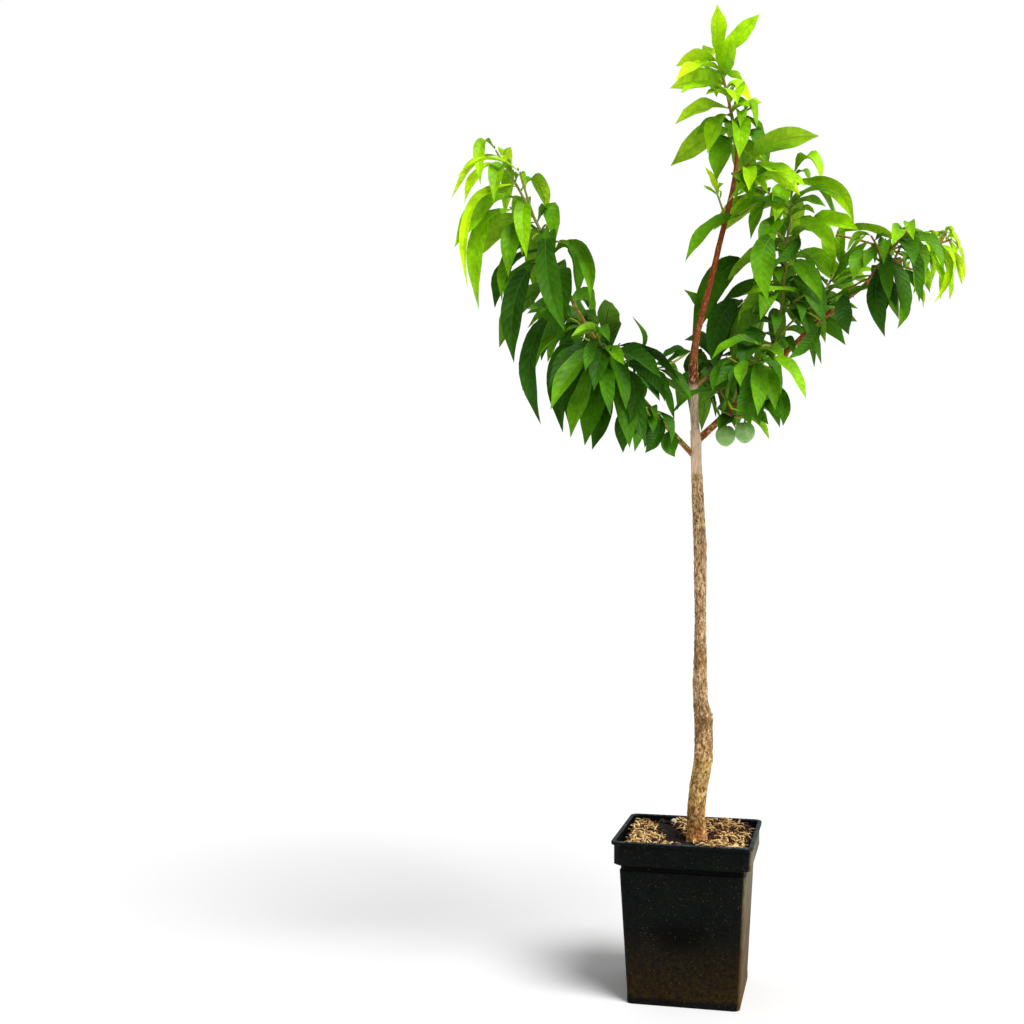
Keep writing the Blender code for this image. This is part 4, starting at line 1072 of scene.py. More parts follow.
def makeTwigs(plans):
    tree = twigTree()
    for kind, (colour, second) in twigColours.items():
        lines = []
        for massName, plan in plans.items():
            if (massName in ruddyTwigs) == (kind == "ruddy"):
                lines += plan["stems"]
        material, nodes, shader = startMaterial(kind + "Twig", tint(*colour), 0.55)
        streak = ramp(nodes, noise(nodes, place(nodes, (1, 1, 0.4)), 240.0), (0.35, tint(*colour)), (0.7, tint(*second)))
        nodes.links.new(streak, shader.inputs["Base Color"])
        relief(nodes, shader, noise(nodes, place(nodes), 900.0), 0.0003, 0.5)
        piece = runTree(kind + "Twigs", polylines(kind, lines), tree, dict(twigSizes, bark=material))
        dropAttributes(piece, "girth")
        finishPiece(piece, tuple(crownMasses))


budSizes = {"length": 0.0042, "width": 0.0021}


def budTree():
    tree, start = startTree("budRule", dict(budSizes, scale=None))
    ball = put(tree, "GeometryNodeMeshIcoSphere", {"Radius": 0.5, "Subdivisions": 1}).outputs["Mesh"]
    shape = put(tree, "ShaderNodeCombineXYZ", {0: start["width"], 1: start["width"], 2: start["length"]}).outputs[0]
    aim = put(
        tree, "FunctionNodeAlignRotationToVector", {"Vector": attribute(tree, "aim", "FLOAT_VECTOR")}, axis="Z"
    ).outputs["Rotation"]
    values = {"Points": start["Geometry"], "Instance": ball, "Rotation": aim, "Scale": shape}
    buds = put(tree, "GeometryNodeInstanceOnPoints", values).outputs[0]
    buds = put(tree, "GeometryNodeSetShadeSmooth", {"Geometry": buds, "Shade Smooth": True}).outputs[0]
    endTree(tree, buds, (start["scale"], None))
    return tree


def makeBuds(plans):
    leaves = [leaf for plan in plans.values() for leaf in plan["leaves"] if leaf["length"] > 0.045]
    mesh = bpy.data.meshes.new("buds")
    spots = []
    for leaf in leaves:
        out = (leaf["knee"] - leaf["base"]).normalized()
        spots.append(leaf["base"] + out * 0.0026 + Vector((0, 0, 0.0014)))
    mesh.from_pydata(spots, [], [])
    data = mesh.attributes.new("aim", "FLOAT_VECTOR", "POINT").data
    for item, leaf in zip(data, leaves):
        item.vector = (leaf["knee"] - leaf["base"]).normalized() + Vector((0, 0, 0.9))
    material, nodes, shader = startMaterial("budScale", tint(120, 92, 48), 0.6)
    patch = ramp(nodes, noise(nodes, place(nodes), 500.0), (0.4, tint(110, 74, 42)), (0.65, tint(126, 140, 60)))
    nodes.links.new(patch, shader.inputs["Base Color"])
    piece = runTree("leafBuds", mesh, budTree(), dict(budSizes, scale=material))
    dropAttributes(piece, "aim")
    finishPiece(piece, tuple(crownMasses))


# Bark: a skin with real relief over each limb

barkSizes = {  # the rough stretch lies between two heights, and the rest keeps a share of its relief
    "trunk": {
        "ringStep": 0.0010, "sides": 56, "girthScale": 0.0090, "coarse": 0.0014, "fissure": 0.0016,
        "roughFrom": 0.0, "smoothAbove": 0.5895, "smoothShare": 0.12,
    },
    "leader": {
        "ringStep": 0.0013, "sides": 30, "girthScale": 0.0050, "coarse": 0.0011, "fissure": 0.0006,
        "roughFrom": 0.690, "smoothAbove": 0.7160, "smoothShare": 0.35,
    },
    "left_bough": {
        "ringStep": 0.0013, "sides": 26, "girthScale": 0.0035, "coarse": 0.0008, "fissure": 0.0004,
        "roughFrom": 0.0, "smoothAbove": 0.6350, "smoothShare": 0.45,
    },
    "right_bough": {
        "ringStep": 0.0013, "sides": 28, "girthScale": 0.0040, "coarse": 0.0011, "fissure": 0.0005,
        "roughFrom": 0.0, "smoothAbove": 0.6500, "smoothShare": 0.45,
    },
}

limbKnots = {  # place, reach and rise of each swelling; a negative rise is a scar
    "trunk": (
        ((0.0235, -0.002, 0.312), 0.013, 0.0026),
        ((0.0040, -0.005, 0.382), 0.009, -0.0013),
        ((0.0230, -0.003, 0.264), 0.010, 0.0014),
        ((0.0060, 0.006, 0.350), 0.010, 0.0014),
        ((0.0205, -0.002, 0.508), 0.007, 0.0010),
        ((0.0100, -0.007, 0.487), 0.006, -0.0005),
        ((0.0100, 0.008, 0.450), 0.010, 0.0012),
        ((0.0080, -0.008, 0.262), 0.008, 0.0010),
        ((0.0020, -0.004, 0.236), 0.008, 0.0008),
        ((0.0060, -0.007, 0.6290), 0.009, 0.0010),
        ((0.0140, -0.003, 0.6300), 0.008, 0.0012),
    ),
    "leader": (
        ((0.0035, -0.004, 0.7120), 0.008, 0.0016),
        ((0.0105, -0.003, 0.7000), 0.007, 0.0012),
        ((0.0030, -0.003, 0.6920), 0.005, 0.0009),
        ((0.0090, -0.005, 0.7350), 0.006, 0.0006),
    ),
    "left_bough": (((-0.060, -0.004, 0.676), 0.007, 0.0008), ((-0.093, -0.004, 0.720), 0.006, 0.0006)),
    "right_bough": (
        ((0.078, -0.010, 0.690), 0.007, 0.0010),
        ((0.120, -0.010, 0.730), 0.006, 0.0008),
        ((0.160, -0.008, 0.765), 0.006, 0.0007),
    ),
}


def barkTree():
    sizes = dict(barkSizes["trunk"], bark=None)
    tree, start = startTree("barkRule", sizes)
    line = put(tree, "GeometryNodeMeshToCurve", {"Mesh": start["Geometry"]}).outputs["Curve"]
    line = put(tree, "GeometryNodeCurveSplineType", {"Curve": line}, spline_type="CATMULL_ROM").outputs["Curve"]
    line = put(tree, "GeometryNodeResampleCurve", {"Curve": line, "Length": start["ringStep"]}, mode="LENGTH").outputs["Curve"]
    line = stored(tree, line, "run", put(tree, "GeometryNodeSplineParameter").outputs["Length"])
    ring = put(tree, "GeometryNodeCurvePrimitiveCircle", {"Resolution": start["sides"], "Radius": 1.0}).outputs["Curve"]
    spot = put(tree, "GeometryNodeInputPosition").outputs[0]
    ring = stored(tree, ring, "ring", spot, "FLOAT_VECTOR")
    values = {"Curve": line, "Profile Curve": ring, "Scale": attribute(tree, "girth"), "Fill Caps": True}
    skin = put(tree, "GeometryNodeCurveToMesh", values).outputs["Mesh"]
    turn = scaled(tree, attribute(tree, "ring", "FLOAT_VECTOR"), start["girthScale"])
    rise = put(tree, "ShaderNodeCombineXYZ", {2: attribute(tree, "run")}).outputs[0]
    skin = stored(tree, skin, "barkSpot", vectors(tree, "ADD", turn, rise), "FLOAT_VECTOR")

    course = attribute(tree, "barkSpot", "FLOAT_VECTOR")
    drift = put(tree, "ShaderNodeTexNoise", {"Vector": course, "Scale": 230.0, "Detail": 2.0}).outputs["Color"]
    drift = scaled(tree, vectors(tree, "SUBTRACT", drift, (0.5, 0.5, 0.5)), 0.0062)
    bent = vectors(tree, "MULTIPLY", vectors(tree, "ADD", course, drift), (1.0, 1.0, 0.24))
    flakes = put(tree, "ShaderNodeTexVoronoi", {"Vector": bent, "Scale": 430.0}, feature="DISTANCE_TO_EDGE").outputs["Distance"]
    flakes = maths(tree, "MINIMUM", maths(tree, "MULTIPLY", flakes, 4.0), 1.0)
    fibres = noise(tree, bent, 640.0, 3.0)
    cracks = maths(tree, "ADD", maths(tree, "MULTIPLY", flakes, 0.25), maths(tree, "MULTIPLY", fibres, 2.2))
    cracks = maths(tree, "SUBTRACT", cracks, 1.28)
    lumps = maths(tree, "SUBTRACT", noise(tree, vectors(tree, "MULTIPLY", course, (1.0, 1.0, 0.55)), 95.0, 2.0), 0.5)
    height = put(tree, "ShaderNodeSeparateXYZ", {0: put(tree, "GeometryNodeInputPosition").outputs[0]}).outputs[2]
    ripple = maths(tree, "MULTIPLY", lumps, 0.012)
    over = maths(tree, "GREATER_THAN", maths(tree, "ADD", height, ripple), start["smoothAbove"])
    over = maths(tree, "MAXIMUM", over, maths(tree, "LESS_THAN", height, start["roughFrom"]))
    rough = maths(tree, "SUBTRACT", 1.0, maths(tree, "MULTIPLY", over, maths(tree, "SUBTRACT", 1.0, start["smoothShare"])))
    skin = stored(tree, skin, "flakes", maths(tree, "ADD", cracks, 0.5))
    skin = stored(tree, skin, "rough", rough)
    push = maths(
        tree, "ADD",
        maths(tree, "MULTIPLY", lumps, start["coarse"]),
        maths(tree, "MULTIPLY", maths(tree, "MULTIPLY", cracks, start["fissure"]), attribute(tree, "rough")),
    )
    outward = scaled(tree, put(tree, "GeometryNodeInputNormal").outputs["Normal"], push)
    skin = put(tree, "GeometryNodeSetPosition", {"Geometry": skin, "Offset": outward}).outputs[0]
    skin = put(tree, "GeometryNodeSetShadeSmooth", {"Geometry": skin, "Shade Smooth": True}).outputs[0]
    endTree(tree, skin, (start["bark"], None))
    return tree


def raiseKnots(mesh, knots):
    for vert in mesh.vertices:
        for spot, reach, rise in knots:
            away = (vert.co - Vector(spot)).length / reach
            if away < 1:
                vert.co += vert.normal * rise * (1 - away * away) ** 2


def barkMaterial(name, flake, crack, patches):  # patches: (height from, height to, colour for the stretch between)
    material, tree, shader = startMaterial(name, tint(*flake), 0.85)
    shader.inputs["Specular IOR Level"].default_value = 0.15
    course = put(tree, "ShaderNodeAttribute", attribute_name="barkSpot").outputs["Vector"]
    depth = put(tree, "ShaderNodeAttribute", attribute_name="flakes").outputs["Fac"]
    rough = put(tree, "ShaderNodeAttribute", attribute_name="rough").outputs["Fac"]
    streaks = noise(tree, vectors(tree, "MULTIPLY", course, (1.0, 1.0, 0.2)), 500.0, 4.0)
    height = put(tree, "ShaderNodeSeparateXYZ", {0: place(tree)}).outputs[2]
    height = maths(tree, "ADD", height, maths(tree, "MULTIPLY", maths(tree, "SUBTRACT", streaks, 0.5), 0.012))
    body = tint(*flake)
    for low, high, colour in patches:
        share = put(tree, "ShaderNodeMapRange", {0: height, 1: low, 2: high}).outputs[0]
        body = blend(tree, share, body, tint(*colour))
    light = ramp(tree, streaks, (0.30, grey(0.58)), (0.5, grey(0.95)), (0.7, grey(1.3)))
    body = blend(tree, 1.0, body, light, "MULTIPLY")
    broad = noise(tree, vectors(tree, "MULTIPLY", course, (1.0, 1.0, 0.35)), 150.0, 3.0)
    body = blend(tree, rough, body, blend(tree, 1.0, body, ramp(tree, broad, (0.36, grey(0.55)), (0.48, grey(0.95)), (0.62, grey(1.28))), "MULTIPLY"))
    pale = put(tree, "ShaderNodeMapRange", {0: depth, 1: 0.55, 2: 0.70}).outputs[0]
    grouped = put(tree, "ShaderNodeMapRange", {0: broad, 1: 0.42, 2: 0.58, 3: 0.3, 4: 0.85}).outputs[0]
    body = blend(tree, maths(tree, "MULTIPLY", maths(tree, "MULTIPLY", pale, rough), grouped), body, tint(234, 210, 168))
    deep = put(tree, "ShaderNodeMapRange", {0: depth, 1: 0.50, 2: 0.16}).outputs[0]
    body = blend(tree, maths(tree, "MULTIPLY", maths(tree, "MULTIPLY", deep, rough), 0.9), body, tint(*crack))
    tree.links.new(body, shader.inputs["Base Color"])
    relief(tree, shader, streaks, 0.0008, 0.6)
    return material


barkColours = {  # flakes, cracks, then stretches of other colours upwards
    "trunk": ((208, 144, 78), (92, 56, 26), (
        (0.182, 0.196, (198, 152, 86)), (0.214, 0.232, (198, 162, 96)), (0.262, 0.272, (180, 142, 92)), (0.290, 0.308, (156, 122, 82)),
        (0.322, 0.336, (208, 174, 128)), (0.356, 0.376, (160, 122, 76)), (0.388, 0.400, (180, 148, 104)), (0.412, 0.430, (182, 146, 102)),
        (0.450, 0.462, (202, 168, 124)), (0.480, 0.492, (178, 144, 104)), (0.510, 0.530, (202, 168, 120)), (0.552, 0.566, (220, 180, 130)),
        (0.587, 0.592, (240, 206, 174)),
    )),
    "leader": ((214, 186, 158), (60, 24, 10), ((0.688, 0.694, (146, 82, 44)), (0.72, 0.78, (148, 72, 34)), (0.90, 0.96, (160, 96, 40)))),
    "left_bough": ((176, 122, 66), (90, 58, 24), ((0.618, 0.632, (152, 142, 48)), (0.675, 0.70, (140, 104, 42)), (0.74, 0.80, (132, 132, 40)))),
    "right_bough": ((184, 116, 64), (76, 32, 14), ((0.645, 0.665, (170, 90, 46)), (0.76, 0.79, (164, 100, 46)))),
}


def makeBark(lines):
    tree = barkTree()
    for name, line in lines.items():
        flake, crack, patches = barkColours[name]
        material = barkMaterial(name + "Bark", flake, crack, patches)
        sizes = dict(barkSizes[name], bark=material)
        piece = runTree(name + "Bark", polylines(name, [line]), tree, sizes)
        raiseKnots(piece.data, limbKnots[name])
        dropAttributes(piece, "girth", "run", "ring")
        finishPiece(piece, (name,))


# Pot: rounded squares lofted from the underside, up the outside, over the lip and down to the floor

potSizes = {
    "turn": math.radians(-13.5),
    "height": 0.1825,
    "lipSide": 0.1555,
    "lipHeight": 0.0045,
    "collarSide": 0.1505,
    "collarDrop": 0.0270,
    "bodyTopSide": 0.140,
    "bodyFootSide": 0.1235,
    "footSide": 0.1250,
    "footHeight": 0.009,
    "cornerRadius": 0.007,
    "wall": 0.002,
    "floor": 0.003,
    "drainRadius": 0.006,
    "drainInset": 0.020,
    "cornerSteps": 5,
    "edgeSteps": 10,
}


def bodySide(height):
    rise = height / (potSizes["height"] - potSizes["collarDrop"])
    return potSizes["bodyFootSide"] + (potSizes["bodyTopSide"] - potSizes["bodyFootSide"]) * rise


def roundedSquare(side, height, radius, cut=0.0):  # a cut of 1 makes each corner a flat chamfer
    half, steps, points = side / 2, potSizes["cornerSteps"], []
    radius = min(radius, half * 0.98)
    for quarter in range(4):
        turn = Matrix.Rotation(potSizes["turn"] + quarter * math.pi / 2, 3, "Z")
        for step in range(steps + 1):
            share = step / steps
            angle = share * math.pi / 2
            arc = Vector((half - radius + radius * math.cos(angle), half - radius + radius * math.sin(angle), 0))
            flat = Vector((half - radius * share, half - radius * (1 - share), 0))
            points.append(turn @ arc.lerp(flat, cut))
        for step in range(1, potSizes["edgeSteps"]):
            along = 1 - 2 * step / potSizes["edgeSteps"]
            points.append(turn @ Vector(((half - radius) * along, half, 0)))
    for point in points:
        point.z = height
    return points


def loft(name, rings, closeFirst=True, closeLast=True):
    corners = [tuple(point) for ring in rings for point in ring]
    count = len(rings[0])
    faces = []
    for level in range(len(rings) - 1):
        first = level * count
        faces += [
            (first + spot, first + (spot + 1) % count, first + count + (spot + 1) % count, first + count + spot)
            for spot in range(count)
        ]
    for end, close in ((0, closeFirst), (len(rings) - 1, closeLast)):
        if close:
            middle = len(corners)
            ring = range(end * count, end * count + count)
            corners.append(tuple(sum((Vector(corners[spot]) for spot in ring), Vector()) / count))
            for spot in range(count):
                faces.append((end * count + (spot + 1) % count, end * count + spot, middle))
    mesh = bpy.data.meshes.new(name)
    mesh.from_pydata(corners, [], faces)
    bm = bmesh.new()
    bm.from_mesh(mesh)
    bmesh.ops.recalc_face_normals(bm, faces=bm.faces[:])
    bm.to_mesh(mesh)
    bm.free()
    return mesh


def potMesh():
    sizes = potSizes
    top, radius, wall = sizes["height"], sizes["cornerRadius"], sizes["wall"]
    collarFoot, lipFoot = top - sizes["collarDrop"], top - sizes["lipHeight"]
    rings = []

    def ring(side, height, corner=radius, cut=0.0):
        rings.append(roundedSquare(side, height, corner, cut))

    for share in (0.15, 0.5, 0.8):
        ring(sizes["footSide"] * share, 0.0, radius * share)
    ring(sizes["footSide"] - 0.0020, 0.0)
    ring(sizes["footSide"] - 0.0006, 0.0004)
    ring(sizes["footSide"], 0.0014)
    ring(sizes["footSide"], sizes["footHeight"] - 0.0010)
    ring(sizes["footSide"] - 0.0006, sizes["footHeight"] - 0.0002)
    ring(bodySide(sizes["footHeight"]) + 0.0006, sizes["footHeight"])
    ring(bodySide(0.0100), 0.0100)
    for step in range(1, 13):
        height = 0.0100 + (collarFoot - 0.0070 - 0.0100) * step / 12
        ring(bodySide(height), height)
    ring(bodySide(collarFoot - 0.0060) - 0.0026, collarFoot - 0.0058)  # the groove below the collar
    ring(bodySide(collarFoot) - 0.0028, collarFoot - 0.0004)
    ring(sizes["collarSide"] - 0.0010, collarFoot, 0.0085, 0.8)
    ring(sizes["collarSide"], collarFoot + 0.0006, 0.0085, 0.8)
    for share in (0.33, 0.66):
        ring(sizes["collarSide"], collarFoot + (lipFoot - collarFoot) * share, 0.0085, 0.8)
    ring(sizes["collarSide"], lipFoot - 0.0006, 0.0085, 0.8)
    ring(sizes["lipSide"] - 0.0012, lipFoot, 0.0070, 0.3)
    ring(sizes["lipSide"], lipFoot + 0.0008, 0.0070, 0.3)
    ring(sizes["lipSide"], top - 0.0012, 0.0070, 0.3)
    ring(sizes["lipSide"] - 0.0008, top - 0.0003, 0.0070, 0.3)
    ring(sizes["lipSide"] - 0.0026, top, 0.0065, 0.3)
    mouth = sizes["collarSide"] - 2 * wall
    ring(mouth + 0.0016, top, 0.0060, 0.3)
    ring(mouth, top - 0.0008, 0.0060, 0.3)
    for share in (0.3, 0.7, 1.0):
        ring(mouth, top - 0.0008 + (collarFoot + 0.0030 - top + 0.0008) * share, 0.0060, 0.3)
    ring(bodySide(collarFoot) - 2 * wall, collarFoot + 0.0030, 0.0055)
    for share in (0.3, 0.6, 1.0):
        height = collarFoot + (sizes["floor"] - collarFoot) * share
        ring(bodySide(height) - 2 * wall, height, 0.0050)
    for share in (0.8, 0.5, 0.15):
        ring((bodySide(sizes["floor"]) - 2 * wall) * share, sizes["floor"], 0.0050 * share)
    return loft("potShell", rings)


def cutDrains(piece):
    cutters = []
    reach = potSizes["footSide"] / 2 - potSizes["drainInset"]
    for across in (-1, 1):
        for along in (-1, 1):
            bm = bmesh.new()
            spot = Matrix.Rotation(potSizes["turn"], 4, "Z") @ Vector((across * reach, along * reach, potSizes["floor"] / 2))
            bmesh.ops.create_cone(
                bm, cap_ends=True, segments=28, radius1=potSizes["drainRadius"], radius2=potSizes["drainRadius"],
                depth=4 * potSizes["floor"], matrix=Matrix.Translation(spot),
            )
            mesh = bpy.data.meshes.new("drain")
            bm.to_mesh(mesh)
            bm.free()
            cutter = addPiece("drainCutter", mesh)
            modifier = piece.modifiers.new("drain", "BOOLEAN")
            modifier.operation = "DIFFERENCE"
            modifier.object = cutter
            cutters.append(cutter)
    bpy.context.view_layer.update()
    graph = bpy.context.evaluated_depsgraph_get()
    plain = bpy.data.meshes.new_from_object(piece.evaluated_get(graph), depsgraph=graph)
    piece.modifiers.clear()
    piece.data = plain
    for cutter in cutters:
        bpy.data.objects.remove(cutter)


def potMaterial():  # dusty black plastic: pale specks, brown dust from the foot up, a grey film on one side that is dust and painted light together, painted shade in a dark band under the collar and a dark patch mid-front, and a painted highlight along the lip
    material, tree, shader = startMaterial("dustyBlackPlastic", tint(24, 26, 26), 0.5)
    shader.inputs["Specular IOR Level"].default_value = 0.04
    spot = place(tree, turn=(0, 0, -potSizes["turn"]))
    parts = put(tree, "ShaderNodeSeparateXYZ", {0: spot}).outputs
    cloud = noise(tree, spot, 34.0, 4.0)
    grain = noise(tree, spot, 900.0, 2.0)
    patchy = put(tree, "ShaderNodeMapRange", {0: noise(tree, spot, 260.0, 4.0, 0.7), 1: 0.35, 2: 0.65}).outputs[0]
    body = blend(tree, cloud, tint(0, 1, 1), tint(14, 17, 17))
    body = blend(tree, maths(tree, "MULTIPLY", patchy, 0.5), body, tint(24, 26, 22))
    low = put(tree, "ShaderNodeMapRange", {0: parts[2], 1: 0.085, 2: 0.0}).outputs[0]
    low = maths(tree, "MULTIPLY", low, maths(tree, "ADD", maths(tree, "MULTIPLY", patchy, 0.85), 0.12))
    foot = put(tree, "ShaderNodeMapRange", {0: parts[2], 1: 0.006, 2: 0.010}).outputs[0]
    body = blend(tree, maths(tree, "MULTIPLY", low, foot), body, tint(54, 38, 6))
    stretched = put(tree, "ShaderNodeCombineXYZ", {0: maths(tree, "MULTIPLY", parts[0], 0.55), 2: parts[2]}).outputs[0]
    away = put(tree, "ShaderNodeVectorMath", {0: stretched, 1: (0.0, 0.0, 0.080)}, operation="DISTANCE").outputs[1]
    shade = put(tree, "ShaderNodeMapRange", {0: away, 1: 0.024, 2: 0.006, 3: 0.0, 4: 0.85}).outputs[0]
    body = blend(tree, maths(tree, "MULTIPLY", shade, maths(tree, "LESS_THAN", parts[1], 0.0)), body, tint(2, 2, 1))
    # painted shadow: a near-black band on the body just under the collar, where the collar's overhang shades it
    groove = put(tree, "ShaderNodeMapRange", {0: parts[2], 1: 0.1490, 2: 0.1515}).outputs[0]
    groove = maths(tree, "MULTIPLY", groove, maths(tree, "LESS_THAN", parts[2], 0.1557))
    body = blend(tree, maths(tree, "MULTIPLY", groove, 0.9), body, tint(1, 1, 1))
    half = put(tree, "ShaderNodeMapRange", {0: parts[2], 1: 0.0, 2: 0.1555, 3: potSizes["bodyFootSide"] / 2, 4: potSizes["bodyTopSide"] / 2}, clamp=False).outputs[0]
    half = maths(tree, "ADD", half, maths(tree, "MULTIPLY", maths(tree, "GREATER_THAN", parts[2], 0.1555), (potSizes["collarSide"] - potSizes["bodyTopSide"]) / 2))
    # a grey film on the right face: dust, and painted light that lightens that face as well
    side = put(tree, "ShaderNodeMapRange", {0: maths(tree, "SUBTRACT", parts[0], half), 1: -0.0030, 2: -0.0006}).outputs[0]
    streaks = noise(tree, vectors(tree, "MULTIPLY", spot, (1.0, 1.0, 0.4)), 130.0, 5.0, 0.75)
    filmAndLight = put(tree, "ShaderNodeMapRange", {0: streaks, 1: 0.36, 2: 0.60, 3: 0.25, 4: 1.0}).outputs[0]
    outer = put(tree, "ShaderNodeMapRange", {0: parts[2], 1: 0.183, 2: 0.176}).outputs[0]
    filmAndLight = maths(tree, "MULTIPLY", maths(tree, "MULTIPLY", filmAndLight, side), outer)
    filmAndLightColour = blend(tree, put(tree, "ShaderNodeMapRange", {0: parts[2], 1: 0.135, 2: 0.06}).outputs[0], tint(120, 112, 80), tint(98, 70, 24))
    body = blend(tree, filmAndLight, body, filmAndLightColour)
    # painted highlight: a pale grey-blue line along the top edge of the lip, where light catches it
    rim = put(tree, "ShaderNodeMapRange", {0: parts[2], 1: 0.1812, 2: 0.1820}).outputs[0]
    body = blend(tree, maths(tree, "MULTIPLY", rim, patchy), body, tint(74, 84, 90))
    specks = put(tree, "ShaderNodeTexVoronoi", {"Vector": spot, "Scale": 420.0, "Randomness": 1.0}, feature="F1")
    near = maths(tree, "LESS_THAN", specks.outputs["Distance"], 0.17)
    chance = put(tree, "ShaderNodeSeparateColor", {0: specks.outputs["Color"]}).outputs[0]
    some = maths(tree, "MULTIPLY", near, maths(tree, "GREATER_THAN", chance, 0.80))
    body = blend(tree, maths(tree, "MULTIPLY", some, maths(tree, "MULTIPLY", cloud, 0.8)), body, tint(120, 118, 104))
    fine = put(tree, "ShaderNodeTexVoronoi", {"Vector": spot, "Scale": 900.0}, feature="F1").outputs["Distance"]
    fine = maths(tree, "MULTIPLY", maths(tree, "LESS_THAN", fine, 0.16), maths(tree, "GREATER_THAN", cloud, 0.47))
    body = blend(tree, maths(tree, "MULTIPLY", fine, 0.4), body, tint(96, 88, 62))
    tree.links.new(body, shader.inputs["Base Color"])
    rough = put(tree, "ShaderNodeMapRange", {0: cloud, 1: 0.3, 2: 0.7, 3: 0.42, 4: 0.68}).outputs[0]
    tree.links.new(rough, shader.inputs["Roughness"])
    relief(tree, shader, maths(tree, "ADD", grain, maths(tree, "MULTIPLY", cloud, 2.0)), 0.0004, 0.5)
    return material


def makePot():
    piece = addPiece("potShell", potMesh())
    cutDrains(piece)
    piece.data.shade_smooth()
    piece.data.set_sharp_from_angle(angle=math.radians(34))
    finishPiece(piece, ("pot",), potMaterial())


# Soil with its mounds and hollow, and the wood fibre that lies on it

mixSizes = {
    "level": 0.1700,
    "mounds": (
        (-0.038, 0.044, 0.036, 0.0115),
        (0.006, 0.056, 0.026, 0.0100),
        (0.044, 0.044, 0.036, 0.0115),
        (0.054, 0.000, 0.024, 0.0065),
        (-0.050, -0.004, 0.026, 0.0065),
    ),
    "hollow": (-0.022, -0.006, 0.017, 0.0060),
    "roughness": 0.0022,
    "trunkClear": 0.0155,
}


def soilHeight(across, along):
    height = 0.0
    for x, y, reach, rise in mixSizes["mounds"]:
        away = ((across - x) ** 2 + (along - y) ** 2) / reach**2
        height = max(height, rise * math.sqrt(max(1 - away, 0)) - 0.0012)
    x, y, reach, drop = mixSizes["hollow"]
    away = math.sqrt((across - x) ** 2 + (along - y) ** 2) / reach
    height -= drop * max(1 - away * away, 0) ** 0.7
    rough = blenderNoise.noise(Vector((across * 260, along * 260, 3.0)))
    rough += 0.6 * blenderNoise.noise(Vector((across * 620, along * 620, 9.0)))
    return mixSizes["level"] - 0.0008 + height + rough * mixSizes["roughness"] * 0.5


def makeSoil():
    gapIn = potSizes["wall"] + gap
    shelf = potSizes["height"] - potSizes["collarDrop"] + 0.0033
    rings = [roundedSquare((bodySide(0.0033) - 2 * gapIn) * share, 0.0033, 0.005 * share) for share in (0.2, 0.6)]
    for step in range(7):
        height = 0.0033 + (shelf - 0.0010 - 0.0033) * step / 6
        rings.append(roundedSquare(bodySide(height) - 2 * gapIn, height, 0.0048))
    topSide = potSizes["collarSide"] - 2 * gapIn
    rings.append(roundedSquare(topSide, shelf, 0.0056, 0.3))
    levels = 46
    for step in range(levels):
        side = topSide * (1 - step / levels)
        ring = roundedSquare(side, mixSizes["level"], 0.0056 * (1 - step / levels) + 0.002 * step / levels, 0.3)
        for point in ring:
            edge = min(step / 3, 1)
            point.z = soilHeight(point.x, point.y) * edge + (mixSizes["level"] - 0.003) * (1 - edge)
        rings.append(ring)
    mesh = loft("soilBody", rings)
    material, tree, shader = startMaterial("dampSoil", tint(36, 24, 16), 0.95)
    spot = place(tree)
    crumbs = put(tree, "ShaderNodeTexVoronoi", {"Vector": spot, "Scale": 420.0}, feature="F1").outputs["Distance"]
    shade = ramp(tree, noise(tree, spot, 150.0, 5.0), (0.3, tint(8, 5, 3)), (0.55, tint(22, 14, 9)), (0.75, tint(50, 33, 20)))
    tree.links.new(shade, shader.inputs["Base Color"])
    relief(tree, shader, crumbs, 0.0012, 0.8)
    piece = addPiece("soilBody", mesh)
    piece.data.shade_smooth()
    finishPiece(piece, ("potting_mix",), material)
    return piece


chipSizes = {
    "density": 90000.0, "shortest": 0.0050, "longest": 0.0140, "lift": 0.0016, "seed": 3, "trenchReach": 0.0150, "clumps": 0.44,
}
chipTrench = ((-0.034, 0.078), (-0.007, -0.030))  # the bare dark strip runs between these two spots

chipKinds = {  # colour, second colour, and what differs from the sizes above
    "straw": ((250, 220, 152), (176, 126, 66), {"density": 110000.0, "seed": 3, "lift": 0.0024, "clumps": 0.48}),
    "tan": ((178, 130, 70), (88, 54, 26), {"density": 64000.0, "seed": 8, "longest": 0.0160}),
    "brown": ((74, 42, 22), (26, 14, 8), {"density": 60000.0, "seed": 14, "trenchReach": 0.010, "clumps": 0.0}),
}


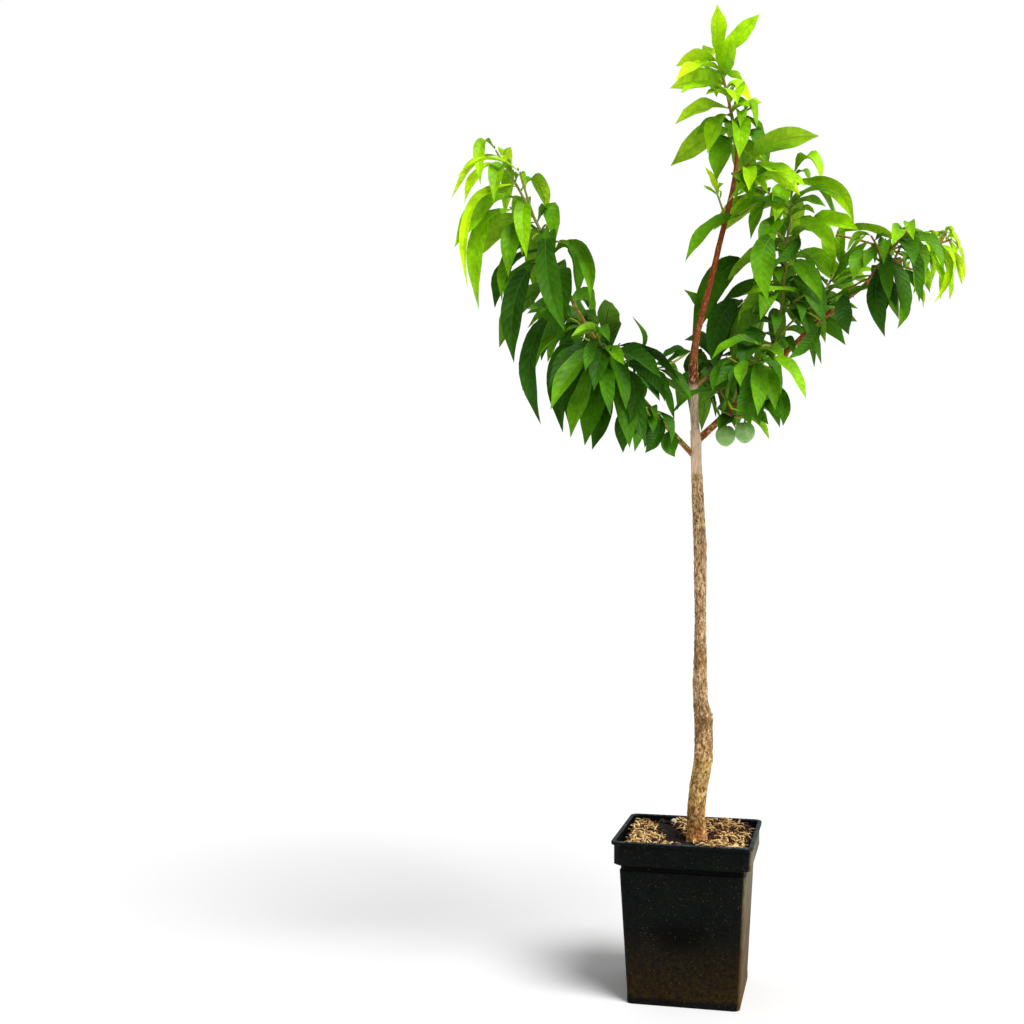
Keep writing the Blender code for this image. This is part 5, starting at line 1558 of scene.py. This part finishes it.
def chipTree():
    tree, start = startTree("fibreRule", dict(chipSizes, fibre=None))
    spot = put(tree, "GeometryNodeInputPosition").outputs[0]
    turned = put(tree, "ShaderNodeVectorRotate", {"Vector": spot, "Angle": -potSizes["turn"]}, rotation_type="Z_AXIS").outputs[0]
    parts = put(tree, "ShaderNodeSeparateXYZ", {0: turned}).outputs
    level = put(tree, "ShaderNodeSeparateXYZ", {0: spot}).outputs[2]
    flat = vectors(tree, "MULTIPLY", spot, (1.0, 1.0, 0.0))
    insideX = maths(tree, "LESS_THAN", maths(tree, "ABSOLUTE", parts[0]), 0.0642)
    insideY = maths(tree, "LESS_THAN", maths(tree, "ABSOLUTE", parts[1]), 0.0642)
    trunkFoot = put(tree, "ShaderNodeVectorMath", {0: flat, 1: (0.0092, 0.0, 0.0)}, operation="DISTANCE").outputs["Value"]
    begin, end = (Vector((x, y, 0.0)) for x, y in chipTrench)
    run = end - begin
    along = put(tree, "ShaderNodeVectorMath", {0: vectors(tree, "SUBTRACT", flat, begin), 1: run / run.length_squared}, operation="DOT_PRODUCT").outputs["Value"]
    along = put(tree, "ShaderNodeClamp", {"Value": along}).outputs[0]
    nearest = vectors(tree, "ADD", scaled(tree, run, along), begin)
    strip = put(tree, "ShaderNodeVectorMath", {0: flat, 1: nearest}, operation="DISTANCE").outputs["Value"]
    keep = maths(tree, "MULTIPLY", insideX, insideY)
    keep = maths(tree, "MULTIPLY", keep, maths(tree, "GREATER_THAN", trunkFoot, mixSizes["trunkClear"]))
    keep = maths(tree, "MULTIPLY", keep, maths(tree, "GREATER_THAN", level, 0.160))
    patch = maths(tree, "ADD", strip, maths(tree, "MULTIPLY", maths(tree, "SUBTRACT", noise(tree, flat, 60.0, 1.0), 0.5), 0.016))
    full = maths(tree, "GREATER_THAN", patch, start["trenchReach"])
    sparser = maths(tree, "MULTIPLY", maths(tree, "GREATER_THAN", parts[0], 0.012), 0.05)
    clump = maths(tree, "GREATER_THAN", noise(tree, flat, 75.0, 2.0), maths(tree, "ADD", start["clumps"], sparser))
    keep = maths(tree, "MULTIPLY", maths(tree, "MULTIPLY", keep, full), clump)
    values = {"Mesh": start["Geometry"], "Selection": keep, "Density": start["density"], "Seed": start["seed"]}
    scatter = put(tree, "GeometryNodeDistributePointsOnFaces", values, distribute_method="RANDOM")
    points = put(tree, "GeometryNodeSetPosition", {"Geometry": scatter.outputs["Points"], "Offset": scaled(tree, scatter.outputs["Normal"], start["lift"])}).outputs[0]
    strand = put(tree, "GeometryNodeCurveQuadraticBezier", {"Resolution": 4, "Start": (-0.5, 0.0, 0.0), "Middle": (0.0, 0.44, 0.34), "End": (0.5, 0.0, -0.1)}).outputs[0]
    rim = put(tree, "GeometryNodeCurvePrimitiveQuadrilateral", {"Width": 0.13, "Height": 0.08}).outputs[0]
    strand = put(tree, "GeometryNodeCurveToMesh", {"Curve": strand, "Profile Curve": rim, "Fill Caps": True}).outputs["Mesh"]
    tilt = put(tree, "FunctionNodeRandomValue", {"Min": (-0.8, -0.7, 0.0), "Max": (0.8, 0.7, 6.283), "Seed": start["seed"]}, data_type="FLOAT_VECTOR").outputs["Value"]
    size = put(tree, "FunctionNodeRandomValue", {"Min": start["shortest"], "Max": start["longest"], "Seed": maths(tree, "ADD", start["seed"], 5.0)}, data_type="FLOAT")
    size = next(socket for socket in size.outputs if socket.enabled)
    values = {"Points": points, "Instance": strand, "Rotation": tilt, "Scale": size}
    fibres = put(tree, "GeometryNodeInstanceOnPoints", values).outputs[0]
    endTree(tree, fibres, (start["fibre"], None))
    return tree


def makeFibres(soil):
    tree = chipTree()
    for kind, (colour, second, changes) in chipKinds.items():
        material, nodes, shader = startMaterial(kind + "Fibre", tint(*colour), 0.8)
        shade = ramp(nodes, noise(nodes, place(nodes), 220.0, 2.0), (0.35, tint(*second)), (0.6, tint(*colour)))
        nodes.links.new(shade, shader.inputs["Base Color"])
        relief(nodes, shader, noise(nodes, place(nodes), 2200.0), 0.0003, 0.6)
        sizes = dict(chipSizes, **changes)
        sizes["fibre"] = material
        mesh = soil.data.copy()
        mesh.materials.clear()
        piece = runTree(kind + "Fibres", mesh, tree, sizes)
        finishPiece(piece, ("potting_mix",))


perliteGrains = ((-0.0105, 0.055, 0.1800, 0.0040), (-0.052, 0.020, 0.1765, 0.0016), (0.030, -0.030, 0.1705, 0.0015),
                 (0.050, 0.022, 0.1755, 0.0014), (-0.030, -0.045, 0.1702, 0.0015))


def makePerlite():
    bm = bmesh.new()
    for index, (across, along, height, size) in enumerate(perliteGrains):
        ball = bmesh.ops.create_icosphere(bm, subdivisions=2, radius=size, matrix=Matrix.Translation((across, along, height)))
        for vert in ball["verts"]:
            away = vert.co - Vector((across, along, height))
            vert.co += away * 0.35 * blenderNoise.noise(away * 300 + Vector((index * 7.0, 0, 0)))
    mesh = bpy.data.meshes.new("perliteGrains")
    bm.to_mesh(mesh)
    bm.free()
    material, tree, shader = startMaterial("perlite", tint(232, 226, 214), 0.85)
    shade = ramp(tree, noise(tree, place(tree), 700.0), (0.35, tint(196, 186, 168)), (0.6, tint(240, 236, 228)))
    tree.links.new(shade, shader.inputs["Base Color"])
    relief(tree, shader, noise(tree, place(tree), 1600.0), 0.0005, 0.6)
    piece = addPiece("perliteGrains", mesh)
    piece.data.shade_smooth()
    finishPiece(piece, ("potting_mix",), material)


# Fruit, small and green, hung below the fork

fruitSizes = {"radius": 0.0112, "groove": 0.0009, "pinch": 0.0011, "stretch": 1.06, "stalkRadii": (0.0011, 0.0013)}


def fruitShape(bm, top, centre, facing):
    ball = bmesh.ops.create_uvsphere(bm, u_segments=36, v_segments=22, radius=1.0)
    for vert in ball["verts"]:
        rise = vert.co.z
        round_ = math.hypot(vert.co.x, vert.co.y)
        angle = math.atan2(vert.co.y, vert.co.x) - facing
        angle = (angle + math.pi) % (2 * math.pi) - math.pi
        suture = math.exp(-((angle / 0.16) ** 2)) * round_
        dimple = math.exp(-(((1 - rise) / 0.06) ** 1.0)) * fruitSizes["pinch"] * 1.6
        point = max(-rise, 0) ** 8 * 0.0009
        radius = fruitSizes["radius"] - fruitSizes["groove"] * suture
        vert.co = centre + Vector((vert.co.x * radius, vert.co.y * radius, rise * radius * fruitSizes["stretch"] - dimple - point))
    stalk = []
    low = centre + Vector((0, 0, fruitSizes["radius"] * fruitSizes["stretch"] - 0.0022))
    for level, spot in enumerate((top, top.lerp(low, 0.5) + Vector((0.0004, 0.0003, 0)), low)):
        radius = between(fruitSizes["stalkRadii"], level / 2)
        stalk.append([bm.verts.new(spot + Vector((math.cos(turn * math.pi / 5) * radius, math.sin(turn * math.pi / 5) * radius, 0))) for turn in range(10)])
    for level in range(2):
        for turn in range(10):
            nextTurn = (turn + 1) % 10
            bm.faces.new((stalk[level][turn], stalk[level + 1][turn], stalk[level + 1][nextTurn], stalk[level][nextTurn]))
    bm.faces.new(stalk[0])
    bm.faces.new(list(reversed(stalk[2])))


def makeFruit(plans):
    bm = bmesh.new()
    for index, (top, centre) in enumerate(plans["foliage_fork"]["fruit"]):
        fruitShape(bm, top, centre, -1.2 - 0.9 * index)
    bmesh.ops.recalc_face_normals(bm, faces=bm.faces[:])
    mesh = bpy.data.meshes.new("greenFruit")
    bm.to_mesh(mesh)
    bm.free()
    material, tree, shader = startMaterial("greenFruitSkin", tint(132, 178, 92), 0.4)
    spot = place(tree)
    bloom = ramp(tree, noise(tree, spot, 120.0, 3.0), (0.3, tint(112, 164, 66)), (0.7, tint(160, 200, 120)))
    dots = put(tree, "ShaderNodeTexVoronoi", {"Vector": spot, "Scale": 620.0}, feature="F1").outputs["Distance"]
    skin = blend(tree, maths(tree, "MULTIPLY", maths(tree, "LESS_THAN", dots, 0.14), 0.35), bloom, tint(190, 214, 150))
    tree.links.new(skin, shader.inputs["Base Color"])
    relief(tree, shader, noise(tree, spot, 500.0), 0.0002, 0.4)
    piece = addPiece("greenFruit", mesh)
    piece.data.shade_smooth()
    finishPiece(piece, ("foliage_fork",), material)


# Floor and lights

lightSizes = {
    "sky": 0.36,
    "backdrop": 1.02,
    "key": (math.radians(38), math.radians(40), 3.2, math.radians(34)),  # tilt, turn, strength, softness
    "floorSide": 80.0,
}


def makeStage():
    mesh = bpy.data.meshes.new("paleFloor")
    half = lightSizes["floorSide"] / 2
    mesh.from_pydata([(-half, -half, 0), (half, -half, 0), (half, half, 0), (-half, half, 0)], [], [(0, 1, 2, 3)])
    floor = addPiece("paleFloor", mesh)
    material, tree, shader = startMaterial("paleFloor", tint(247, 247, 247), 0.9)
    shader.inputs["Specular IOR Level"].default_value = 0.1
    mesh.materials.append(material)
    world = bpy.data.worlds.new("softSky")
    world.use_nodes = True
    nodes, links = world.node_tree.nodes, world.node_tree.links
    sky = nodes["Background"]
    sky.inputs["Color"].default_value = (1, 1, 1, 1)
    sky.inputs["Strength"].default_value = lightSizes["sky"]
    backdrop = nodes.new("ShaderNodeBackground")  # what the camera sees behind, a little brighter
    backdrop.inputs["Color"].default_value = (1, 1, 1, 1)
    backdrop.inputs["Strength"].default_value = lightSizes["backdrop"]
    choice = nodes.new("ShaderNodeMixShader")
    links.new(nodes.new("ShaderNodeLightPath").outputs["Is Camera Ray"], choice.inputs[0])
    links.new(sky.outputs[0], choice.inputs[1])
    links.new(backdrop.outputs[0], choice.inputs[2])
    links.new(choice.outputs[0], nodes["World Output"].inputs["Surface"])
    scene.world = world
    tilt, turn, strength, softness = lightSizes["key"]
    data = bpy.data.lights.new("softKey", "SUN")
    data.energy = strength
    data.angle = softness
    lamp = bpy.data.objects.new("softKey", data)
    lamp.location = (1, -2, 3)
    lamp.rotation_euler = (tilt, 0, turn)
    scene.collection.objects.link(lamp)


setCamera()
makeStage()
print("stage set")
makePot()
soil = makeSoil()
makeFibres(soil)
makePerlite()
print("pot and mix done")
lines = makeLines()
makeBark(lines)
print("bark done")
plans = planCrown(lines)
makeLeaves(plans)
makeTwigs(plans)
makeBuds(plans)
makeFruit(plans)
print("crown done")
